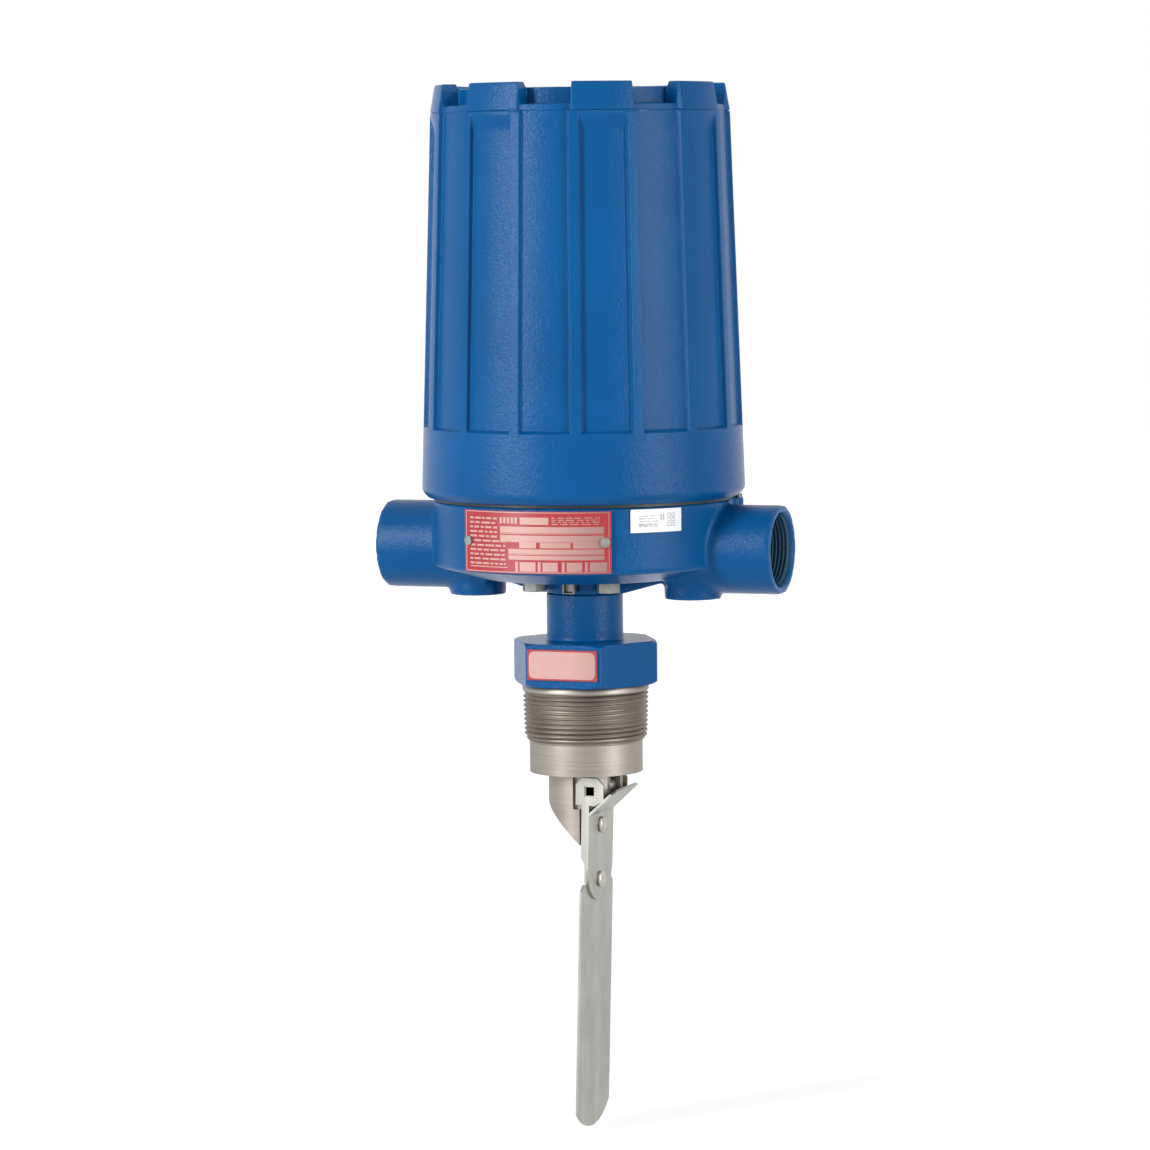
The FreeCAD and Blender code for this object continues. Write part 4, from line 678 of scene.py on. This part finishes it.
def curved_patch(shape, radius, low_angle, high_angle, low, high, gauge, material):
    """A thin solid bent round the axis."""
    count = max(1, int(abs(high_angle - low_angle) / 2.0) + 1)
    rows = []
    for i in range(count + 1):
        turn = math.radians(low_angle + (high_angle - low_angle) * i / count)
        out = Vector((math.sin(turn), -math.cos(turn), 0))
        corners = [(radius, low), (radius + gauge, low), (radius + gauge, high), (radius, high)]
        rows.append([shape.verts.new((out * r + Vector((0, 0, z))) * MM) for r, z in corners])
    faces = [shape.faces.new(rows[0]), shape.faces.new(list(reversed(rows[-1])))]
    for first, second in zip(rows, rows[1:]):
        for j in range(4):
            k = (j + 1) % 4
            faces.append(shape.faces.new((first[j], second[j], second[k], first[k])))
    for face in faces:
        face.material_index = material


def finish_print(name, shape, node, materials):
    bmesh.ops.recalc_face_normals(shape, faces=shape.faces)
    item = piece(name, to_mesh(name, shape), node, materials, False)
    item.data.polygons.foreach_set("use_smooth", [False] * len(item.data.polygons))


def dashes(low, high, longest, gap):
    """Random run of dash spans between two shares."""
    at = low
    while at < high - 0.008:
        end = min(at + random.uniform(0.3, 1.0) * longest, high)
        yield at, end
        at = end + gap * random.uniform(0.7, 1.3)


def print_nameplate():
    """Ruled fields, boxes and dashes, with no lettering."""
    shape = bmesh.new()
    radius, low, tall, spread = 72.44, 57.8, 28.8, 60.0

    def patch(u0, u1, v0, v1, tone):
        curved_patch(shape, radius, spread * (u0 - 0.5), spread * (u1 - 0.5), low + tall * v0,
                     low + tall * v1, 0.05, tone)

    pale, pink, dark = 0, 1, 2
    for v0, v1 in ((0.655, 0.755), (0.52, 0.615), (0.32, 0.395), (0.235, 0.29)):
        patch(0.292 if v0 > 0.5 else 0.35, 0.955, v0, v1, pale)
    for v in (0.637, 0.506, 0.303, 0.222):
        patch(0.292 if v > 0.45 else 0.35, 0.955, v, v + 0.012, dark)
    for u0, u1 in ((0.427, 0.53), (0.575, 0.67), (0.725, 0.82), (0.866, 0.972)):
        patch(u0, u1, 0.035, 0.185, pale)
        patch(u0 - 0.03, u0 - 0.012, 0.03, 0.19, dark)
    patch(0.425, 0.535, 0.41, 0.505, pale)
    patch(0.56, 0.75, 0.415, 0.5, pink)
    patch(0.765, 0.95, 0.41, 0.505, pale)
    patch(0.43, 0.615, 0.79, 0.905, pale)
    for column in range(5):
        patch(0.29 + column * 0.026, 0.307 + column * 0.026, 0.8, 0.9, pink)
    patch(0.05, 0.345, 0.085, 0.1, pale)
    for row in range(11):
        v = 0.13 + row * 0.073
        for start, end in dashes(0.05, 0.27 if v > 0.5 else 0.33, 0.07, 0.012):
            patch(start, end, v, v + 0.03, pink)
    for row in range(4):
        for start, end in dashes(0.635, 0.93, 0.06, 0.014):
            patch(start, end, 0.79 + row * 0.034, 0.805 + row * 0.034, pink)
    edges = [(0.012, 0.988, 0.012, 0.026), (0.012, 0.988, 0.974, 0.988), (0.012, 0.018, 0.026, 0.974),
             (0.982, 0.988, 0.026, 0.974)]
    for edge in edges:
        patch(*edge, pink)
    finish_print("nameplate_print", shape, "nameplate", ["print_pale", "print_pink", "print_dark"])


def print_rating_tag():
    """A grey ruled field, a few boxes and two short bars on the white tag."""
    shape = bmesh.new()
    radius, low, tall, middle, spread = 72.34, 76.2, 10.9, 48.0, 21.0

    def patch(u0, u1, v0, v1, tone):
        curved_patch(shape, radius, middle + spread * (u0 - 0.5), middle + spread * (u1 - 0.5),
                     low + tall * v0, low + tall * v1, 0.04, tone)

    for row in range(5):
        for start, end in dashes(0.14, 0.52, 0.14, 0.02):
            patch(start, end, 0.24 + row * 0.11, 0.28 + row * 0.11, 0)
    patch(0.14, 0.5, 0.3, 0.34, 1)
    for u in (0.555, 0.61):
        patch(u, u + 0.03, 0.5, 0.78, 1)
    for column in range(2):
        for row in range(3):
            u, v = 0.7 + column * 0.09, 0.24 + row * 0.2
            for a, b, c, d in ((u, u + 0.07, v, v + 0.03), (u, u + 0.07, v + 0.13, v + 0.16),
                               (u, u + 0.008, v, v + 0.16), (u + 0.062, u + 0.07, v, v + 0.16)):
                patch(a, b, c, d, 0)
    finish_print("rating_tag_print", shape, "rating_tag", ["tag_print", "print_dark"])


def flat_shape(shape, points, front, gauge, tone):
    """A thin solid from an outline of (across, up) on a plane that faces the front."""
    back = [shape.verts.new((x * MM, -front * MM, z * MM)) for x, z in points]
    face = [shape.verts.new((x * MM, -(front + gauge) * MM, z * MM)) for x, z in points]
    made = [shape.faces.new(face), shape.faces.new(list(reversed(back)))]
    for i in range(len(points)):
        j = (i + 1) % len(points)
        made.append(shape.faces.new((face[i], face[j], back[j], back[i])))
    for item in made:
        item.material_index = tone


def rounded_box(x0, x1, z0, z1, fillet):
    return corner_arcs([(x0, z0, fillet), (x1, z0, fillet), (x1, z1, fillet), (x0, z1, fillet)], 5)


def print_flow_plate():
    """A rounded frame round two plain marks and a generic flow arrow."""
    shape = bmesh.new()
    seat, gauge = 0.05, 0.8
    front = HEX_FLATS / 2 + seat + gauge
    pale, pink, dark = 0, 1, 2
    flat_shape(shape, rounded_box(-16.6, 16.6, 4.6, 17.5, 3.0), front, 0.03, pink)
    flat_shape(shape, rounded_box(-15.4, 15.4, 5.8, 16.3, 2.2), front, 0.05, pale)
    flat_shape(shape, rounded_box(-12.5, -9.6, 8.6, 13.5, 1.2), front, 0.07, pink)
    flat_shape(shape, rounded_box(-7.6, -4.6, 8.6, 13.5, 1.2), front, 0.07, pink)
    flat_shape(shape, rounded_box(-2.6, 3.6, 10.2, 11.9, 0.3), front, 0.07, dark)
    flat_shape(shape, [(3.6, 7.4), (12.6, 11.05), (3.6, 14.7)], front, 0.07, dark)
    finish_print("flow_plate_print", shape, "flow_plate", ["print_pale", "print_pink", "print_dark"])


# ------------------------------------------------------------------ small pieces

LEAD_RADIUS, LEAD_DROP = 0.9, 5.8


def rounded_path(points, reach):
    """The points with a smooth turn in place of each corner."""
    path = [points[0]]
    for before, corner, after in zip(points, points[1:], points[2:]):
        cut = min(reach, (before - corner).length * 0.49, (after - corner).length * 0.49)
        first = corner + (before - corner).normalized() * cut
        last = corner + (after - corner).normalized() * cut
        for step in range(9):
            t = step / 8
            path.append(first * (1 - t) ** 2 + corner * 2 * t * (1 - t) + last * t ** 2)
    return path + [points[-1]]


def sweep(shape, path, radius, sections=12):
    """A round wire along a path, added to shape."""
    side = Vector((0, 1, 0))
    rows = []
    for index, point in enumerate(path):
        run = path[min(index + 1, len(path) - 1)] - path[max(index - 1, 0)]
        run.normalize()
        side = (side - run * side.dot(run)).normalized()
        other = run.cross(side)
        turns = [2 * math.pi * k / sections for k in range(sections)]
        rows.append([shape.verts.new(point + (side * math.cos(turn) + other * math.sin(turn)) * radius)
                     for turn in turns])
    skin(shape, rows)


def islands(node):
    """Lowest and highest corner of each separate solid of a node, from left to right."""
    shape = clean_copy(node)
    left = set(shape.verts)
    boxes = []
    while left:
        ring = [left.pop()]
        corners = []
        while ring:
            vertex = ring.pop()
            corners.append(vertex.co.copy())
            near = [edge.other_vert(vertex) for edge in vertex.link_edges]
            ring += [other for other in near if other in left]
            left.difference_update(near)
        boxes.append((Vector(min(c[k] for c in corners) for k in range(3)),
                      Vector(max(c[k] for c in corners) for k in range(3))))
    shape.free()
    return sorted(boxes, key=lambda pair: pair[0].x)


def make_leads():
    """Three insulated wires bent in smooth turns from the switch tabs to the terminals."""
    radius = LEAD_RADIUS * MM
    shape = bmesh.new()
    for way, (low, high) in enumerate(islands("lead_wires")):
        right, left = high.x - radius, low.x + radius
        back, front = high.y - radius, low.y + radius
        top = high.z - radius
        turn = low.z + (LEAD_DROP + 4 * way) * MM
        start = right - 3 * (way + 0.6) * MM
        points = [Vector(p) for p in ((start, back, top), (right, back, top), (right, back, turn),
                                      (right, front, turn), (left, front, turn), (left, front, low.z))]
        sweep(shape, rounded_path(points, 3.2 * MM), radius)
    bmesh.ops.recalc_face_normals(shape, faces=shape.faces)
    piece("wire_leads", to_mesh("wire_leads", shape), "lead_wires", ["lead_insulation"])


def make_set_screw():
    """Square head whose socket faces are painted dark as shade, on its shank."""
    shape = bmesh.new()
    level = 46.9
    place = Matrix.LocRotScale(Vector((0, -20.95, level)) * MM, None, Vector((6.0, 4.1, 6.0)) * MM)
    bmesh.ops.create_cube(shape, size=1.0, matrix=place)
    front = min(shape.faces, key=lambda face: face.calc_center_median().y)
    bmesh.ops.inset_individual(shape, faces=[front], thickness=1.1 * MM)
    inner = bmesh.ops.inset_individual(shape, faces=[front], thickness=0.15 * MM, depth=-2.6 * MM)["faces"]
    # Painted shade: the socket's walls and floor take the dark steel, for the shadow inside the recess.
    for face in inner + [front]:
        face.material_index = 1
    mesh = to_mesh("set_screw_head", shape)
    round_edges(piece("set_screw_head", mesh, "collar_set_screw", ["zinc_steel", "dark_steel"]), 0.35, 30.0)
    shank = lathe("set_screw_shank", [(0, 15.1, 0), (2.4, 15.1, 0.3), (2.4, 19.5, 0), (0, 19.5, 0)], 32)
    shank.transform(Matrix.Translation((0, 0, level * MM)) @ Matrix.Rotation(math.radians(90), 4, "X"))
    piece("set_screw_shank", shank, "collar_set_screw", ["dark_steel"], False)


def make_springs():
    """Both springs as coils with their end turns closer, left unattached to any body."""
    low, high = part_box("return_spring")
    mesh = coil("return_coil", 5.0, 0.6, (high[2] - low[2]) / MM, 9.0)
    mesh.transform(Matrix.Translation((0, 0, low[2])))
    item = piece("return_coil", mesh, "return_spring", ["spring_steel"], bends=True)
    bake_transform(item)
    low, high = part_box("magnet_spring")
    middle = ((low[1] + high[1]) / 2, (low[2] + high[2]) / 2)
    mesh = coil("magnet_coil", 2.25, 0.35, (high[0] - low[0]) / MM, 9.0)
    mesh.transform(Matrix.Translation((low[0], *middle)) @ Matrix.Rotation(math.radians(90), 4, "Y"))
    item = piece("magnet_coil", mesh, "magnet_spring", ["spring_steel"], bends=True)
    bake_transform(item)


make_cover()
make_base()
make_bushing_body()
make_bushing_boss()
make_taper_thread()
print_nameplate()
print_rating_tag()
print_flow_plate()
make_springs()
make_leads()
make_set_screw()
for node, width in (("vane_bracket", 0.25), ("vane_blade", 0.2), ("base_bolts", 0.35), ("base_washers", 0.2),
                    ("cover_lock_screw", 0.3), ("conduit_plug", 0.4), ("nameplate", 0.15),
                    ("rating_tag", 0.15), ("flow_plate", 0.15), ("vane_rivets", 0.5), ("tube_nut", 0.5),
                    ("switch_frame", 0.3), ("microswitch", 0.5), ("terminal_block", 0.5)):
    soften(node, width)


# ------------------------------------------------------------------ stage, light and camera

def make_backdrop():
    """World: soft grey for the object, white wherever the camera, a mirror or glass sees it."""
    world = bpy.data.worlds.new("studio")
    bpy.context.scene.world = world
    world.use_nodes = True
    nodes, links = world.node_tree.nodes, world.node_tree.links
    nodes.clear()
    seen = seen_directly(nodes, links)
    low, white = nodes.new("ShaderNodeBackground"), nodes.new("ShaderNodeBackground")
    low.inputs["Color"].default_value = (0.9, 0.95, 1.0, 1.0)
    low.inputs["Strength"].default_value = 0.3
    white.inputs["Color"].default_value = (1, 1, 1, 1)
    white.inputs["Strength"].default_value = 1.0
    mix, output = nodes.new("ShaderNodeMixShader"), nodes.new("ShaderNodeOutputWorld")
    links.new(seen, mix.inputs[0])
    links.new(low.outputs[0], mix.inputs[1])
    links.new(white.outputs[0], mix.inputs[2])
    links.new(mix.outputs[0], output.inputs["Surface"])


def seen_directly(nodes, links):
    """1 for rays from the camera, a mirror or glass, and 0 for the light that falls on the object."""
    path = nodes.new("ShaderNodeLightPath")
    total = path.outputs["Is Camera Ray"]
    for name in ("Is Glossy Ray", "Is Transmission Ray"):
        add = nodes.new("ShaderNodeMath")
        add.operation = "ADD"
        add.use_clamp = True
        links.new(total, add.inputs[0])
        links.new(path.outputs[name], add.inputs[1])
        total = add.outputs[0]
    return total


def make_floor():
    """Pale floor that fades to the white of the backdrop but keeps the object's shadow."""
    low = CAD_BOUNDS[0][2]
    mesh = bpy.data.meshes.new("floor")
    half = 6.0
    corners = [(-half, -half, 0), (half, -half, 0), (half, half, 0), (-half, half, 0)]
    mesh.from_pydata(corners, [], [(0, 1, 2, 3)])
    floor = bpy.data.objects.new("floor", mesh)
    floor.location.z = low - 0.001
    bpy.context.scene.collection.objects.link(floor)
    tree = Tree("floor_white", "")
    seen = seen_directly(tree.nodes, tree.links)
    grain = tree.noise(30.0, 2.0)
    matte = tree.principled(tree.mix(grain, srgb("ECECEC"), srgb("F2F2F2")), 0.9)
    glow = tree.nodes.new("ShaderNodeEmission")
    glow.inputs["Color"].default_value = (1, 1, 1, 1)
    glow.inputs["Strength"].default_value = 1.1
    x, y, _ = tree.axes()
    away = tree.math("SQRT", tree.math("ADD", tree.math("MULTIPLY", x, x), tree.math("MULTIPLY", y, y)))
    share = tree.math("MULTIPLY", seen, tree.range(away, 0.15, 0.8, 0.8, 1.0))
    floor.data.materials.append(tree.finish(tree.shader_mix(share, matte, glow.outputs[0])))


def area_light(name, azimuth, elevation, distance, width, height, power):
    """A soft box that faces the object from an angle, azimuth 0 being the front."""
    data = bpy.data.lights.new(name, "AREA")
    data.shape = "RECTANGLE"
    data.size, data.size_y = width, height
    data.energy = power
    light = bpy.data.objects.new(name, data)
    turn, lift = math.radians(azimuth), math.radians(elevation)
    away = Vector((math.sin(turn) * math.cos(lift), -math.cos(turn) * math.cos(lift), math.sin(lift)))
    target = Vector((0, 0, 0.06))
    light.location = target + away * distance
    light.rotation_euler = (-away).to_track_quat("-Z", "Y").to_euler()
    light.visible_camera = False
    bpy.context.scene.collection.objects.link(light)


def make_camera():
    """Long lens, a little to the downstream side and slightly above the middle of the part."""
    data = bpy.data.cameras.new("camera")
    camera = bpy.data.objects.new("camera", data)
    azimuth, drop, distance = math.radians(20.0), math.radians(4.9), 2.1465
    target = Vector((0, 0, 0.0512))
    away = Vector((math.sin(azimuth) * math.cos(drop), -math.cos(azimuth) * math.cos(drop), math.sin(drop)))
    camera.location = target + away * distance
    level = (-away).to_track_quat("-Z", "Y")
    camera.rotation_euler = (level @ Quaternion((0, 0, 1), math.radians(-0.57))).to_euler()
    data.sensor_width = 36.0
    data.lens = 140.9
    data.shift_x = -0.0083
    bpy.context.scene.collection.objects.link(camera)
    bpy.context.scene.camera = camera


make_backdrop()
make_floor()
area_light("key_left", -32, 18, 1.6, 0.22, 1.0, 25)
area_light("key_right", 74, 12, 1.6, 0.3, 1.2, 17)
make_camera()
bpy.context.scene.view_settings.view_transform = "Standard"
